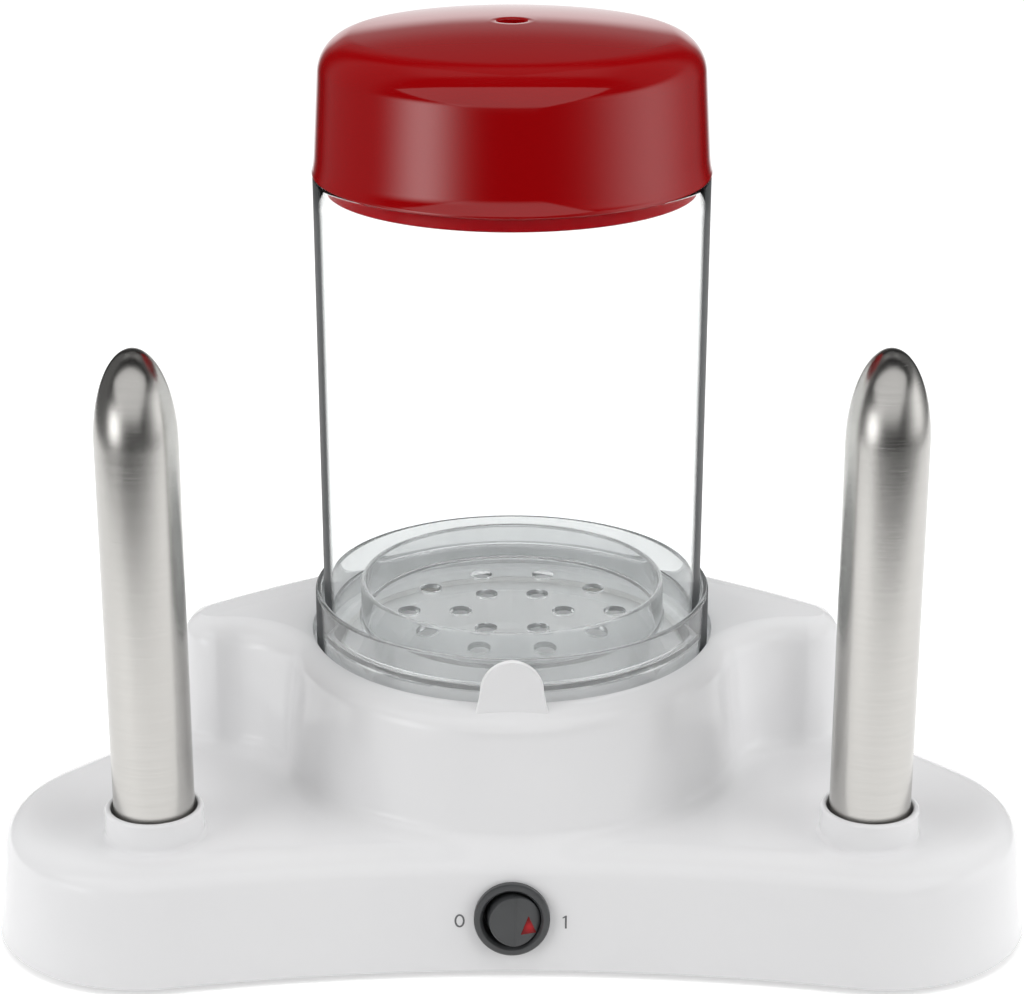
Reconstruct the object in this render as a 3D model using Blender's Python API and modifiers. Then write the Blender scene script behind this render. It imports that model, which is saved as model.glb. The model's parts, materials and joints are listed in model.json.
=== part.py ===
# Hot dog maker: a low white base with two heated bread spikes and a round tower,
# on which a clear tray, a clear sausage jar and a red lid stand.
# Metres, +Z up, front towards -Y. The origin is under the middle of the whole part.

from math import acos, atan2, cos, hypot, pi, radians, sin, tan

import bmesh
import bpy
from mathutils import Matrix, Vector

# Clearances that many pieces share
FIT = 0.0003              # gap between two pieces that touch
OVERRUN = 0.004           # how far a cutter passes the face that it cuts
BITE = 0.001              # how far one shape sinks into another that it is joined to
MERGE = 0.00001           # points closer than this are one point

# Housing, lower slab. Places are measured from the tower's axis.
FRONT_HOLLOW = 0.0117     # how far the front wall's middle lies behind the lobes, at the foot
LOBE_X = 0.1125
LOBE_Y = -0.0475
LOBE_RADIUS = 0.048
FLANK_RADIUS = 0.340
FLANK_TURN = radians(40)  # where the lobe's arc gives way to the flank's
HOUSING_WALL = 0.0025
HOUSING_FOOT = 0.0023     # height of the housing's lower edge
DRAFT_TURN = radians(6)
DECK_HEIGHT = 0.040
DECK_ROUND = 0.0085

# Housing, tower and the ears on its sides
TOWER_RADIUS = 0.075      # at the deck
TOWER_HEIGHT = 0.082
TOWER_ROUND = 0.007
TOWER_FLARE = 0.005       # hollow fillet at the tower's foot
TOWER_ROOT = 0.012        # how far below the deck the tower's own solid starts
EAR_RADIUS = 0.018
EAR_TURN = radians(50)
EAR_HOLLOW = 0.022        # radius of the hollow between the tower's front and an ear
REAR_STEP = 0.0002        # the tower's rear wall lies this far inside the slab's

# Housing, seat of the tray and the tongue in front of it
RECESS_RADIUS = 0.0639
RECESS_DEPTH = 0.005      # from the tower's top to the ledge that the tray stands on
LEDGE_THICKNESS = 0.003
LEDGE_HOLE = 0.057
TONGUE_RISE = 0.0147      # above the tower's top
TONGUE_FRONT = 0.0674
TONGUE_THICKNESS = 0.0022
TONGUE_ROOT = 0.012       # how far below the tower's top it starts
TONGUE_WIDTH_TOP = 0.0192
TONGUE_WIDTH_FOOT = 0.0247

# Spikes that warm the bread
SPIKE_X = 0.1086
SPIKE_Y = -0.0655
SPIKE_RADIUS = 0.0123
SPIKE_WALL = 0.0008
SPIKE_SHOULDER = 0.125    # from the deck to where the rounded tip starts
SPIKE_TIP = 0.0285
SPIKE_FLANGE_RADIUS = 0.0150
SPIKE_FLANGE = 0.0012
COLLAR_RADIUS = 0.0150
COLLAR_BORE = 0.0131
COLLAR_HEIGHT = 0.0092    # above the deck
COLLAR_ROUND = 0.0009
BUSH_RADIUS = 0.0180
BUSH_HEIGHT = 0.0060
PLATE_LENGTH = 0.0580
PLATE_WIDTH = 0.0240
PLATE_THICKNESS = 0.0015
PLATE_HOLE = 0.0080
SPIKE_POST_REACH = 0.0240
SPIKE_POST_RADIUS = 0.0036
HEATER_CORE = 0.0060
HEATER_DISC = 0.0025
HEATER_SHORT = 0.015      # how far below the shoulder the heater ends

# Screws: shank, head and the hole that each turns into
SCREW_SHANK = 0.0015
SCREW_HEAD = 0.0029
SCREW_HEAD_HEIGHT = 0.0014
SCREW_BITE = 0.0055

# Bottom cover and what it stands on
COVER_GAP = 0.0005
COVER_THICKNESS = 0.0025
COVER_POST_RADIUS = 0.0042
LOBE_POST = (0.1390, -0.0380)
FRONT_POST = (0.0580, -0.0640)
EAR_POST = (0.0860, 0.0120)
FRONT_FOOT = (0.1250, -0.0640)
REAR_FOOT = (0.0560, 0.0400)
FOOT_RADIUS = 0.0075
FOOT_SPIGOT = 0.0026
FOOT_BARB = 0.0040
FOOT_BARB_HEIGHT = 0.0015
FOOT_ROUND = 0.0006

# Cord gland in the rear wall
GLAND_HEIGHT = 0.018
GLAND_RADIUS = 0.0060
GLAND_BORE = 0.0036
GLAND_FLANGE = 0.0085
GLAND_FLANGE_THICKNESS = 0.0018
GLAND_INSIDE = 0.0090
GLAND_CHAMFER = 0.0006

# Water dish, its seal and the ring-shaped heating element
SEAL_INNER = 0.0573
SEAL_OUTER = 0.0592
SEAL_HEIGHT = 0.0017
DISH_FLANGE = 0.0660
DISH_SHEET = 0.0012
DISH_RADIUS = 0.0500
DISH_DEPTH = 0.0145
DISH_CORNER = 0.0040
DISH_SCREW_RING = 0.0626
DISH_BOSS = 0.0032
DISH_SCREWS = 3
DISH_SCREW_LIFT = 0.0045  # length of a dish screw inside its boss
ELEMENT_RING = 0.0360
ELEMENT_RADIUS = 0.0032
ELEMENT_GAP_TURN = radians(26)
ELEMENT_DROP = 0.0120
ELEMENT_BEND = 0.0065
ELEMENT_LEAD_SHARE = 1.4  # how far the ring stops short of its turned-down ends, in bends

# Thermostat under the dish, its bracket, and the thermal fuse in its clip
THERMOSTAT_RADIUS = 0.0085
THERMOSTAT_HEIGHT = 0.0095
THERMOSTAT_FLANGE = 0.0110
THERMOSTAT_FLANGE_HEIGHT = 0.0015
BLADE_WIDTH = 0.0048
BLADE_THICKNESS = 0.0008
BLADE_LENGTH = 0.0065
BLADE_REACH = 0.0050
BRACKET_LENGTH = 0.0440
BRACKET_WIDTH = 0.0240
BRACKET_SHEET = 0.0012
STUD_REACH = 0.0175
STUD_RADIUS = 0.0018
STUD_LENGTH = 0.0085
NUT_RADIUS = 0.0036
NUT_HEIGHT = 0.0024
FUSE_Y = 0.0235
FUSE_RADIUS = 0.0025
FUSE_LENGTH = 0.0140
CLIP_SHEET = 0.0008
CLIP_FOOT = 0.0040
CLIP_WIDTH = 0.0060
FUSE_SWING_SHARES = (1.6, 0.7)  # where its first lead swings round, in its length and place
EARTH_STUD = (0.0200, 0.0200)

# Terminal block on the cover
BLOCK_Y = 0.0400
BLOCK_LENGTH = 0.0360
BLOCK_WIDTH = 0.0140
BLOCK_HEIGHT = 0.0150
BLOCK_BEVEL = 0.0010
BLOCK_PITCH = 0.0070
RIB_THICKNESS = 0.0020
RIB_HEIGHT = 0.0090

# Round rocker switch in the front wall
SWITCH_HEIGHT = 0.0195
SWITCH_SEAT = 0.0005      # the front wall is hollow, so the bezel stands off its middle
BEZEL_RADIUS = 0.0115
BEZEL_FRONT = 0.0022
BEZEL_ROUND = 0.0007
BEZEL_SLOPE_RADIUS = 0.0096
BEZEL_SLOPE_DROP = 0.0010
BARREL_RADIUS = 0.0097
BARREL_BORE = 0.0090
BARREL_HOLE = 0.0101
BARREL_LENGTH = 0.0130
BARREL_FLOOR = 0.0070
LUG_WIDTH = 0.0050
LUG_REACH = 0.0110
LUG_LENGTH = 0.0022
ROCKER_RADIUS = 0.00785
ROCKER_PIVOT = 0.0020     # pin's depth behind the wall's face
ROCKER_CREST = 0.0062     # from the pin's axis
ROCKER_BACK = 0.0026
ROCKER_TILT = radians(11)
PIN_RADIUS = 0.0009
LENS_BASE = 0.0052
LENS_HEIGHT = 0.0058
LENS_X = 0.0044           # along the rocker's right face, from its crest
LENS_FOOT = -0.0042
LENS_DEPTH = 0.0012
LENS_PROUD = 0.0001

# Clear tray that stands in the tower's recess
TRAY_RADIUS = 0.0627
TRAY_WALL = 0.0019
TRAY_HEIGHT = 0.0182
TRAY_ROUND = 0.0006
TRAY_FLOOR_RISE = 0.0087  # from the tray's foot to the top of its floor
TRAY_FLOOR_THICKNESS = 0.0016
TRAY_RING_RADIUS = 0.0483
TRAY_RING_WALL = 0.0018
TRAY_RING_HEIGHT = 0.0120
STEAM_HOLE = 0.0036
STEAM_RING_RADII = (0.0165, 0.0330)
STEAM_RING_HOLES = (6, 10)

# Clear jar
JAR_FOOT_RADIUS = 0.0599
JAR_TOP_RADIUS = 0.0605
JAR_WALL = 0.0020
JAR_LENGTH = 0.1432
JAR_ROUND = 0.0005

# Red lid
LID_RIM_RADIUS = 0.0607
LID_RIM_HEIGHT = 0.0012
LID_SHOULDER_RADIUS = 0.0584
LID_SHOULDER_HEIGHT = 0.0304
LID_SHOULDER_ROUND = 0.0120
LID_WALL = 0.0022
LID_DOME_RADIUS = 0.336
LID_SKIRT_RADIUS = 0.0572
LID_SKIRT_DEPTH = 0.0046
LID_SKIRT_TOP = 0.0030
LID_VENT = 0.0046

# Wires
LEAD_RADIUS = 0.0011
LEAD_STEP = 0.0090

# Facets
ROUND_STEPS = 40
SPIKE_STEPS = 20
SMALL_STEPS = 12
SCREW_STEPS = 8
NUT_SIDES = 6
FILLET_STEPS = 3
EDGE_STEPS = 2
FRONT_STEPS = 5
LOBE_STEPS = 11
FLANK_STEPS = 4
BACK_STEPS = 3
TOWER_STEPS = 9
EAR_STEPS = 4
TONGUE_STEPS = 10
TIP_STEPS = 5
DOME_STEPS = 3
CORNER_STEPS = 2
BEND_STEPS = 3
RING_STEPS = 24
CLIP_STEPS = 8
ELEMENT_BEVEL_STEPS = 2
LEAD_BEVEL_STEPS = 1
SHARP_TURN = radians(30)

parts = None
cutters = None
materials = {}


# Scene and collections

def clear_scene():
    for thing in list(bpy.data.objects):
        bpy.data.objects.remove(thing, do_unlink=True)


def new_collection(name):
    collection = bpy.data.collections.new(name)
    bpy.context.scene.collection.children.link(collection)
    return collection


def new_material(name, colour, roughness, metallic=0.0, transmission=0.0):
    material = bpy.data.materials.new(name)
    material.use_nodes = True
    shader = material.node_tree.nodes["Principled BSDF"]
    shader.inputs["Base Color"].default_value = (*colour, 1.0)
    shader.inputs["Roughness"].default_value = roughness
    shader.inputs["Metallic"].default_value = metallic
    shader.inputs["Transmission Weight"].default_value = transmission
    material.diffuse_color = (*colour, 1.0)
    materials[name] = material


def make_materials():
    new_material("white_plastic", (0.80, 0.80, 0.81), 0.22)
    new_material("red_plastic", (0.42, 0.004, 0.012), 0.12)
    new_material("clear_plastic", (0.90, 0.92, 0.93), 0.05, transmission=1.0)
    new_material("brushed_steel", (0.62, 0.61, 0.59), 0.32, metallic=1.0)
    new_material("dish_steel", (0.55, 0.55, 0.56), 0.28, metallic=1.0)
    new_material("zinc_steel", (0.58, 0.58, 0.60), 0.35, metallic=1.0)
    new_material("brass", (0.70, 0.50, 0.18), 0.30, metallic=1.0)
    new_material("dark_plastic", (0.07, 0.07, 0.075), 0.38)
    new_material("red_lens", (0.55, 0.01, 0.01), 0.15)
    new_material("grey_rubber", (0.16, 0.16, 0.17), 0.70)
    new_material("silicone", (0.55, 0.12, 0.08), 0.60)
    new_material("brown_phenolic", (0.09, 0.05, 0.03), 0.55)
    new_material("ceramic", (0.75, 0.73, 0.68), 0.60)
    new_material("red_wire", (0.50, 0.02, 0.02), 0.45)
    new_material("blue_wire", (0.02, 0.08, 0.45), 0.45)
    new_material("green_wire", (0.10, 0.35, 0.05), 0.45)


# Objects from meshes, profiles and curves

def add_object(name, data, material, collection=None):
    item = bpy.data.objects.new(name, data)
    (collection or parts).objects.link(item)
    if material:
        data.materials.append(materials[material])
    return item


def mesh_object(name, form, material, collection=None):
    mesh = bpy.data.meshes.new(name)
    form.to_mesh(mesh)
    form.free()
    mesh.shade_smooth()
    mesh.set_sharp_from_angle(angle=SHARP_TURN)
    return add_object(name, mesh, material, collection)


def turned(name, profile, material, steps=ROUND_STEPS, closed=True, collection=None):
    # The profile runs down the outer side; an open one starts and ends on the axis
    form = bmesh.new()
    points = [form.verts.new((x, 0, z)) for x, z in profile]
    count = len(points)
    last = count if closed else count - 1
    for index in range(last):
        form.edges.new((points[index], points[(index + 1) % count]))
    item = mesh_object(name, form, material, collection)
    screw = item.modifiers.new("turn", "SCREW")
    screw.axis = "Z"
    screw.angle = 2 * pi
    screw.steps = steps
    screw.render_steps = steps
    screw.use_merge_vertices = True
    screw.merge_threshold = MERGE
    return item


def cylinder(name, radius, low, high, material, steps=SMALL_STEPS, collection=None):
    form = bmesh.new()
    middle = (low + high) / 2
    bmesh.ops.create_cone(form, cap_ends=True, segments=steps, radius1=radius, radius2=radius,
                          depth=high - low, matrix=Matrix.Translation((0, 0, middle)))
    return mesh_object(name, form, material, collection)


def box(name, low, high, material, collection=None):
    form = bmesh.new()
    size = Vector(high) - Vector(low)
    centre = (Vector(high) + Vector(low)) / 2
    place = Matrix.Translation(centre) @ Matrix.Diagonal((*size, 1))
    bmesh.ops.create_cube(form, size=1, matrix=place)
    return mesh_object(name, form, material, collection)


def merge_shapes(name, shapes, material, collection=None):
    # Several separate solids in one node; the shapes' own objects are removed
    form = bmesh.new()
    bpy.context.view_layer.update()
    graph = bpy.context.evaluated_depsgraph_get()
    for shape in shapes:
        mesh = bpy.data.meshes.new_from_object(shape.evaluated_get(graph))
        mesh.transform(shape.matrix_world)
        form.from_mesh(mesh)
        bpy.data.meshes.remove(mesh)
    for shape in shapes:
        bpy.data.objects.remove(shape, do_unlink=True)
    return mesh_object(name, form, material, collection)


def flat_plate(name, outline, thickness, material, collection=None):
    # A flat outline in the XY plane, as a solid centred on that plane
    curve = bpy.data.curves.new(name, "CURVE")
    curve.dimensions = "2D"
    curve.fill_mode = "BOTH"
    curve.extrude = thickness / 2
    spline = curve.splines.new("POLY")
    spline.points.add(len(outline) - 1)
    for point, (x, y) in zip(spline.points, outline):
        point.co = (x, y, 0, 1)
    spline.use_cyclic_u = True
    return curve_to_mesh(name, curve, material, collection)


def tube(name, route, radius, material, bevel=LEAD_BEVEL_STEPS):
    curve = bpy.data.curves.new(name, "CURVE")
    curve.dimensions = "3D"
    curve.bevel_depth = radius
    curve.bevel_resolution = bevel
    curve.use_fill_caps = True
    spline = curve.splines.new("POLY")
    spline.points.add(len(route) - 1)
    for point, place in zip(spline.points, route):
        point.co = (*place, 1)
    return curve_to_mesh(name, curve, material)


def curve_to_mesh(name, curve, material, collection=None):
    item = bpy.data.objects.new(name, curve)
    bpy.context.scene.collection.objects.link(item)
    bpy.context.view_layer.update()
    graph = bpy.context.evaluated_depsgraph_get()
    mesh = bpy.data.meshes.new_from_object(item.evaluated_get(graph))
    bpy.data.objects.remove(item, do_unlink=True)
    bpy.data.curves.remove(curve)
    form = bmesh.new()
    form.from_mesh(mesh)
    bpy.data.meshes.remove(mesh)
    bmesh.ops.remove_doubles(form, verts=form.verts, dist=MERGE)
    bmesh.ops.recalc_face_normals(form, faces=form.faces)
    return mesh_object(name, form, material, collection)


def combine(item, tool, operation):
    if tool.name in parts.objects:
        parts.objects.unlink(tool)
        cutters.objects.link(tool)
    modifier = item.modifiers.new(tool.name, "BOOLEAN")
    modifier.operation = operation
    modifier.object = tool
    modifier.solver = "EXACT"
    tool.hide_render = True
    tool.display_type = "WIRE"


def cut(item, tool):
    combine(item, tool, "DIFFERENCE")


def join(item, tool):
    combine(item, tool, "UNION")


def stand_at(item, x, y, z=0):
    item.location = (x, y, z)
    return item


def aim(item, place, direction):
    item.location = place
    item.rotation_euler = Vector(direction).to_track_quat("Z", "Y").to_euler()
    return item


# Outlines made of arcs

def arc(centre, radius, start, end, steps, hollow=False, weights=(0, 0)):
    # Samples of one arc without its last point; weight 0 is front wall, 1 is rear wall
    samples = []
    for index in range(steps):
        share = index / steps
        angle = start + (end - start) * share
        weight = weights[0] + (weights[1] - weights[0]) * share
        samples.append((centre, radius, angle, hollow, weight))
    return samples


def outline(samples, front, rear=None):
    # Right half from the front middle to the back middle, then its mirror image
    rear = front if rear is None else rear
    half = []
    for centre, radius, angle, hollow, weight in samples:
        growth = front * (1 - weight) + rear * weight
        reach = radius - growth if hollow else radius + growth
        half.append((centre[0] + reach * cos(angle), centre[1] + reach * sin(angle)))
    mirrored = [(-x, y) for x, y in reversed(half[1:-1])]
    return half + mirrored


def stack(name, samples, levels, material=None, collection=None):
    # A loft through level rings, each (height, growth at the front, growth at the rear)
    form = bmesh.new()
    rings = []
    for height, front, rear in levels:
        ring = [form.verts.new((x, y, height)) for x, y in outline(samples, front, rear)]
        rings.append(ring)
    count = len(rings[0])
    for lower, upper in zip(rings, rings[1:]):
        for index in range(count):
            after = (index + 1) % count
            form.faces.new((lower[index], lower[after], upper[after], upper[index]))
    form.faces.new(list(reversed(rings[0])))
    form.faces.new(rings[-1])
    item = mesh_object(name, form, material, collection)
    return stand_at(item, 0, tower_y)


def meeting(first, first_reach, second, second_reach):
    # The front-side point at the given distances from two centres
    across = Vector(second) - Vector(first)
    span = across.length
    along = (first_reach ** 2 - second_reach ** 2 + span ** 2) / (2 * span)
    aside = (first_reach ** 2 - along ** 2) ** 0.5
    unit = across / span
    normal = Vector((unit.y, -unit.x))
    return Vector(first) + unit * along + normal * aside


def direction(start, end):
    return atan2(end[1] - start[1], end[0] - start[0])


lobe = (LOBE_X, LOBE_Y)
front_reach = LOBE_RADIUS - LOBE_Y - FRONT_HOLLOW
flank_centre = (LOBE_X - (FLANK_RADIUS - LOBE_RADIUS) * cos(FLANK_TURN),
                LOBE_Y - (FLANK_RADIUS - LOBE_RADIUS) * sin(FLANK_TURN))
back_turn = atan2(-flank_centre[1], -flank_centre[0])
back_radius = FLANK_RADIUS - hypot(*flank_centre)
gland_out = FIT + GLAND_FLANGE_THICKNESS
rear_reach = (back_radius - tan(DRAFT_TURN) * (GLAND_HEIGHT - HOUSING_FOOT)
              + cos(DRAFT_TURN) * gland_out + sin(DRAFT_TURN) * (GLAND_FLANGE - GLAND_CHAMFER))
tower_y = (LOBE_RADIUS - LOBE_Y - rear_reach) / 2
front_radius = ((LOBE_X ** 2 + (LOBE_Y + front_reach) ** 2 - LOBE_RADIUS ** 2)
                / (2 * FRONT_HOLLOW))
front_centre = (0, -front_reach - front_radius)
front_turn = direction(front_centre, lobe)
ear = (flank_centre[0] + (FLANK_RADIUS - EAR_RADIUS) * cos(EAR_TURN),
       flank_centre[1] + (FLANK_RADIUS - EAR_RADIUS) * sin(EAR_TURN))
hollow_centre = meeting((0, 0), TOWER_RADIUS + EAR_HOLLOW, ear, EAR_RADIUS + EAR_HOLLOW)
lower_wall_top = DECK_HEIGHT - DECK_ROUND
tower_wall_top = TOWER_HEIGHT - TOWER_ROUND
tower_root = DECK_HEIGHT - TOWER_ROOT
ledge_height = TOWER_HEIGHT - RECESS_DEPTH
tray_foot = ledge_height + FIT
tray_floor = tray_foot + TRAY_FLOOR_RISE
jar_foot = tray_floor + FIT
jar_top = jar_foot + JAR_LENGTH
spike_shoulder = DECK_HEIGHT + SPIKE_SHOULDER


def slab_samples():
    samples = arc(front_centre, front_radius, pi / 2, front_turn, FRONT_STEPS, hollow=True)
    samples += arc(lobe, LOBE_RADIUS, front_turn - pi, -pi / 2, 1)
    samples += arc(lobe, LOBE_RADIUS, -pi / 2, FLANK_TURN, LOBE_STEPS)
    samples += arc(flank_centre, FLANK_RADIUS, FLANK_TURN, back_turn, FLANK_STEPS)
    samples += arc((0, 0), back_radius, back_turn, pi / 2, BACK_STEPS)
    samples.append(((0, 0), back_radius, pi / 2, False, 0))
    return samples


def tower_samples():
    tower_turn = direction((0, 0), hollow_centre)
    ear_turn = direction(ear, hollow_centre)
    samples = arc((0, 0), TOWER_RADIUS, -pi / 2, tower_turn, TOWER_STEPS)
    samples += arc(hollow_centre, EAR_HOLLOW, tower_turn + pi, ear_turn + pi, EAR_STEPS,
                   hollow=True)
    samples += arc(ear, EAR_RADIUS, ear_turn, 0, EAR_STEPS, weights=(0, 1))
    samples += arc(ear, EAR_RADIUS, 0, EAR_TURN, EAR_STEPS - 1, weights=(1, 1))
    samples += arc(flank_centre, FLANK_RADIUS, EAR_TURN, back_turn, EAR_STEPS // 2,
                   weights=(1, 1))
    samples += arc((0, 0), back_radius, back_turn, pi / 2, BACK_STEPS, weights=(1, 1))
    samples.append(((0, 0), back_radius, pi / 2, False, 1))
    return samples


def draft(height, start):
    return -tan(DRAFT_TURN) * (height - start)


def slab_levels(offset, start):
    # The slab's rings, offset inwards for the inner shell
    rounding = DECK_ROUND - offset
    levels = [(start, draft(start, HOUSING_FOOT) - offset)]
    for index in range(FILLET_STEPS + 1):
        turn = pi / 2 * index / FILLET_STEPS
        growth = draft(lower_wall_top, HOUSING_FOOT) - offset - rounding * (1 - cos(turn))
        levels.append((lower_wall_top + rounding * sin(turn), growth))
    return [(height, growth, growth) for height, growth in levels]


def tower_levels(offset, start, flare):
    rounding = TOWER_ROUND - offset

    def rear(height):
        return draft(height, HOUSING_FOOT) - offset - REAR_STEP

    levels = [(start, -offset, rear(start))]
    if flare > 0:
        below = DECK_HEIGHT - flare
        levels.append((below, -offset, rear(below)))
        for index in range(FILLET_STEPS):
            turn = pi / 2 * index / FILLET_STEPS
            height = DECK_HEIGHT + flare * (1 - cos(turn))
            levels.append((height, flare * (1 - sin(turn)), rear(height)))
    for index in range(FILLET_STEPS + 1):
        turn = pi / 2 * index / FILLET_STEPS
        inset = rounding * (1 - cos(turn))
        front = draft(tower_wall_top, DECK_HEIGHT) - offset - inset
        height = tower_wall_top + rounding * sin(turn)
        levels.append((height, front, rear(tower_wall_top) - inset))
    return levels


# Housing

def housing_shell():
    slab = slab_samples()
    tower = tower_samples()
    shell = stack("base_housing", slab, slab_levels(0, HOUSING_FOOT), "white_plastic")
    join(shell, stack("tower_outer", tower, tower_levels(0, tower_root, TOWER_FLARE),
                      collection=cutters))
    join(shell, tongue())
    for side in (-1, 1):
        collar = cylinder("collar_outer", COLLAR_RADIUS, DECK_HEIGHT - HOUSING_WALL / 2,
                          DECK_HEIGHT + COLLAR_HEIGHT, None, SPIKE_STEPS, cutters)
        soften(collar, COLLAR_ROUND)
        join(shell, stand_at(collar, side * SPIKE_X, tower_y + SPIKE_Y))
    cut(shell, housing_cavity(slab, tower))
    recess = turned("recess", [(0, TOWER_HEIGHT + OVERRUN),
                               (RECESS_RADIUS, TOWER_HEIGHT + OVERRUN),
                               (RECESS_RADIUS, ledge_height),
                               (LEDGE_HOLE, ledge_height),
                               (LEDGE_HOLE, ledge_height - LEDGE_THICKNESS - OVERRUN),
                               (0, ledge_height - LEDGE_THICKNESS - OVERRUN)],
                    None, closed=False, collection=cutters)
    cut(shell, stand_at(recess, 0, tower_y))
    return shell


def housing_cavity(slab, tower):
    cavity = stack("cavity", slab, slab_levels(HOUSING_WALL, HOUSING_FOOT - OVERRUN),
                   collection=cutters)
    upper = stack("tower_cavity", tower,
                  tower_levels(HOUSING_WALL, tower_root - OVERRUN, 0), collection=cutters)
    join(cavity, upper)
    cup = cylinder("recess_cup", RECESS_RADIUS + HOUSING_WALL, ledge_height - LEDGE_THICKNESS,
                   TOWER_HEIGHT + OVERRUN, None, ROUND_STEPS, cutters)
    cut(cavity, stand_at(cup, 0, tower_y))
    return cavity


def soften(item, width, segments=EDGE_STEPS):
    bevel = item.modifiers.new("edges", "BEVEL")
    bevel.width = width
    bevel.segments = segments
    bevel.limit_method = "ANGLE"
    bevel.angle_limit = SHARP_TURN
    return item


def tongue():
    # Upright finger in front of the tray's collar, with a round top
    top_radius = TONGUE_WIDTH_TOP / 2
    centre = TOWER_HEIGHT + TONGUE_RISE - top_radius
    foot = TOWER_HEIGHT - TONGUE_ROOT
    points = [(-TONGUE_WIDTH_FOOT / 2, foot), (TONGUE_WIDTH_FOOT / 2, foot)]
    for index in range(TONGUE_STEPS + 1):
        turn = pi * index / TONGUE_STEPS
        points.append((top_radius * cos(turn), centre + top_radius * sin(turn)))
    finger = flat_plate("tongue", points, TONGUE_THICKNESS, None, cutters)
    finger.rotation_euler = (pi / 2, 0, 0)
    finger.location = (0, tower_y - TONGUE_FRONT + TONGUE_THICKNESS / 2, 0)
    return finger


def mirrored_places(place):
    return [(side * place[0], tower_y + place[1]) for side in (-1, 1)]


def cover_posts():
    deck_top = DECK_HEIGHT - HOUSING_WALL + BITE
    ear_top = TOWER_HEIGHT - HOUSING_WALL + BITE
    places = [(place, deck_top) for place in mirrored_places(LOBE_POST)]
    places += [(place, deck_top) for place in mirrored_places(FRONT_POST)]
    places += [(place, ear_top) for place in mirrored_places(EAR_POST)]
    return places


def spike_post_places():
    places = []
    for x, y in mirrored_places((SPIKE_X, SPIKE_Y)):
        places += [(x - SPIKE_POST_REACH, y), (x + SPIKE_POST_REACH, y)]
    return places


def dish_screw_places():
    places = []
    for index in range(DISH_SCREWS):
        turn = pi / 2 + 2 * pi * index / DISH_SCREWS
        places.append((DISH_SCREW_RING * cos(turn), tower_y + DISH_SCREW_RING * sin(turn)))
    return places


cover_top = HOUSING_FOOT + COVER_THICKNESS
bush_top = DECK_HEIGHT - HOUSING_WALL - FIT
bush_foot = bush_top - BUSH_HEIGHT
spike_flange_top = bush_foot - FIT
spike_foot = spike_flange_top - SPIKE_FLANGE
plate_top = spike_foot - FIT
plate_foot = plate_top - PLATE_THICKNESS
ledge_under = ledge_height - LEDGE_THICKNESS
seal_top = ledge_under - FIT
seal_foot = seal_top - SEAL_HEIGHT
dish_top = seal_foot - FIT
dish_floor_top = dish_top - DISH_DEPTH
dish_under = dish_floor_top - DISH_SHEET
screw_hole = SCREW_SHANK + FIT


def housing():
    shell = housing_shell()
    for (x, y), top in cover_posts():
        post = cylinder("cover_post", COVER_POST_RADIUS, cover_top + FIT, top, None,
                        SCREW_STEPS, cutters)
        join(shell, stand_at(post, x, y))
    for x, y in spike_post_places():
        post = cylinder("spike_post", SPIKE_POST_RADIUS, spike_foot, bush_top + BITE, None,
                        SCREW_STEPS, cutters)
        join(shell, stand_at(post, x, y))
    for x, y in dish_screw_places():
        boss = cylinder("dish_boss", DISH_BOSS, seal_foot, ledge_under + BITE, None,
                        SCREW_STEPS, cutters)
        join(shell, stand_at(boss, x, y))
    cut(shell, housing_holes())
    return shell


def housing_holes():
    holes = []
    for (x, y), top in cover_posts():
        hole = cylinder("hole", screw_hole, HOUSING_FOOT, cover_top + FIT + SCREW_BITE + FIT, None,
                        SCREW_STEPS)
        holes.append(stand_at(hole, x, y))
    for x, y in spike_post_places():
        hole = cylinder("hole", screw_hole, plate_foot, plate_top + SCREW_BITE + FIT, None,
                        SCREW_STEPS)
        holes.append(stand_at(hole, x, y))
    for x, y in dish_screw_places():
        hole = cylinder("hole", screw_hole, dish_under, dish_top + DISH_SCREW_LIFT + FIT, None,
                        SCREW_STEPS)
        holes.append(stand_at(hole, x, y))
    for x, y in mirrored_places((SPIKE_X, SPIKE_Y)):
        hole = cylinder("hole", COLLAR_BORE, DECK_HEIGHT - HOUSING_WALL - OVERRUN,
                        DECK_HEIGHT + COLLAR_HEIGHT + OVERRUN, None, SPIKE_STEPS)
        holes.append(stand_at(hole, x, y))
    gland_hole = cylinder("hole", GLAND_RADIUS + FIT, -HOUSING_WALL - OVERRUN, OVERRUN, None)
    holes.append(aim(gland_hole, gland_place, gland_axis))
    barrel_hole = cylinder("hole", BARREL_HOLE, -HOUSING_WALL - OVERRUN, OVERRUN, None,
                           SPIKE_STEPS)
    barrel_hole.location = switch_place
    barrel_hole.rotation_euler = switch_turn
    holes.append(barrel_hole)
    return merge_shapes("housing_holes", holes, None, cutters)


# Places on the drafted front and rear walls
switch_place = (0, tower_y - front_reach - draft(SWITCH_HEIGHT, HOUSING_FOOT), SWITCH_HEIGHT)
switch_turn = (pi / 2 - DRAFT_TURN, 0, 0)
gland_place = (0, tower_y + back_radius + draft(GLAND_HEIGHT, HOUSING_FOOT), GLAND_HEIGHT)
gland_axis = (0, cos(DRAFT_TURN), sin(DRAFT_TURN))


# Bottom cover, feet and screws

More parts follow.
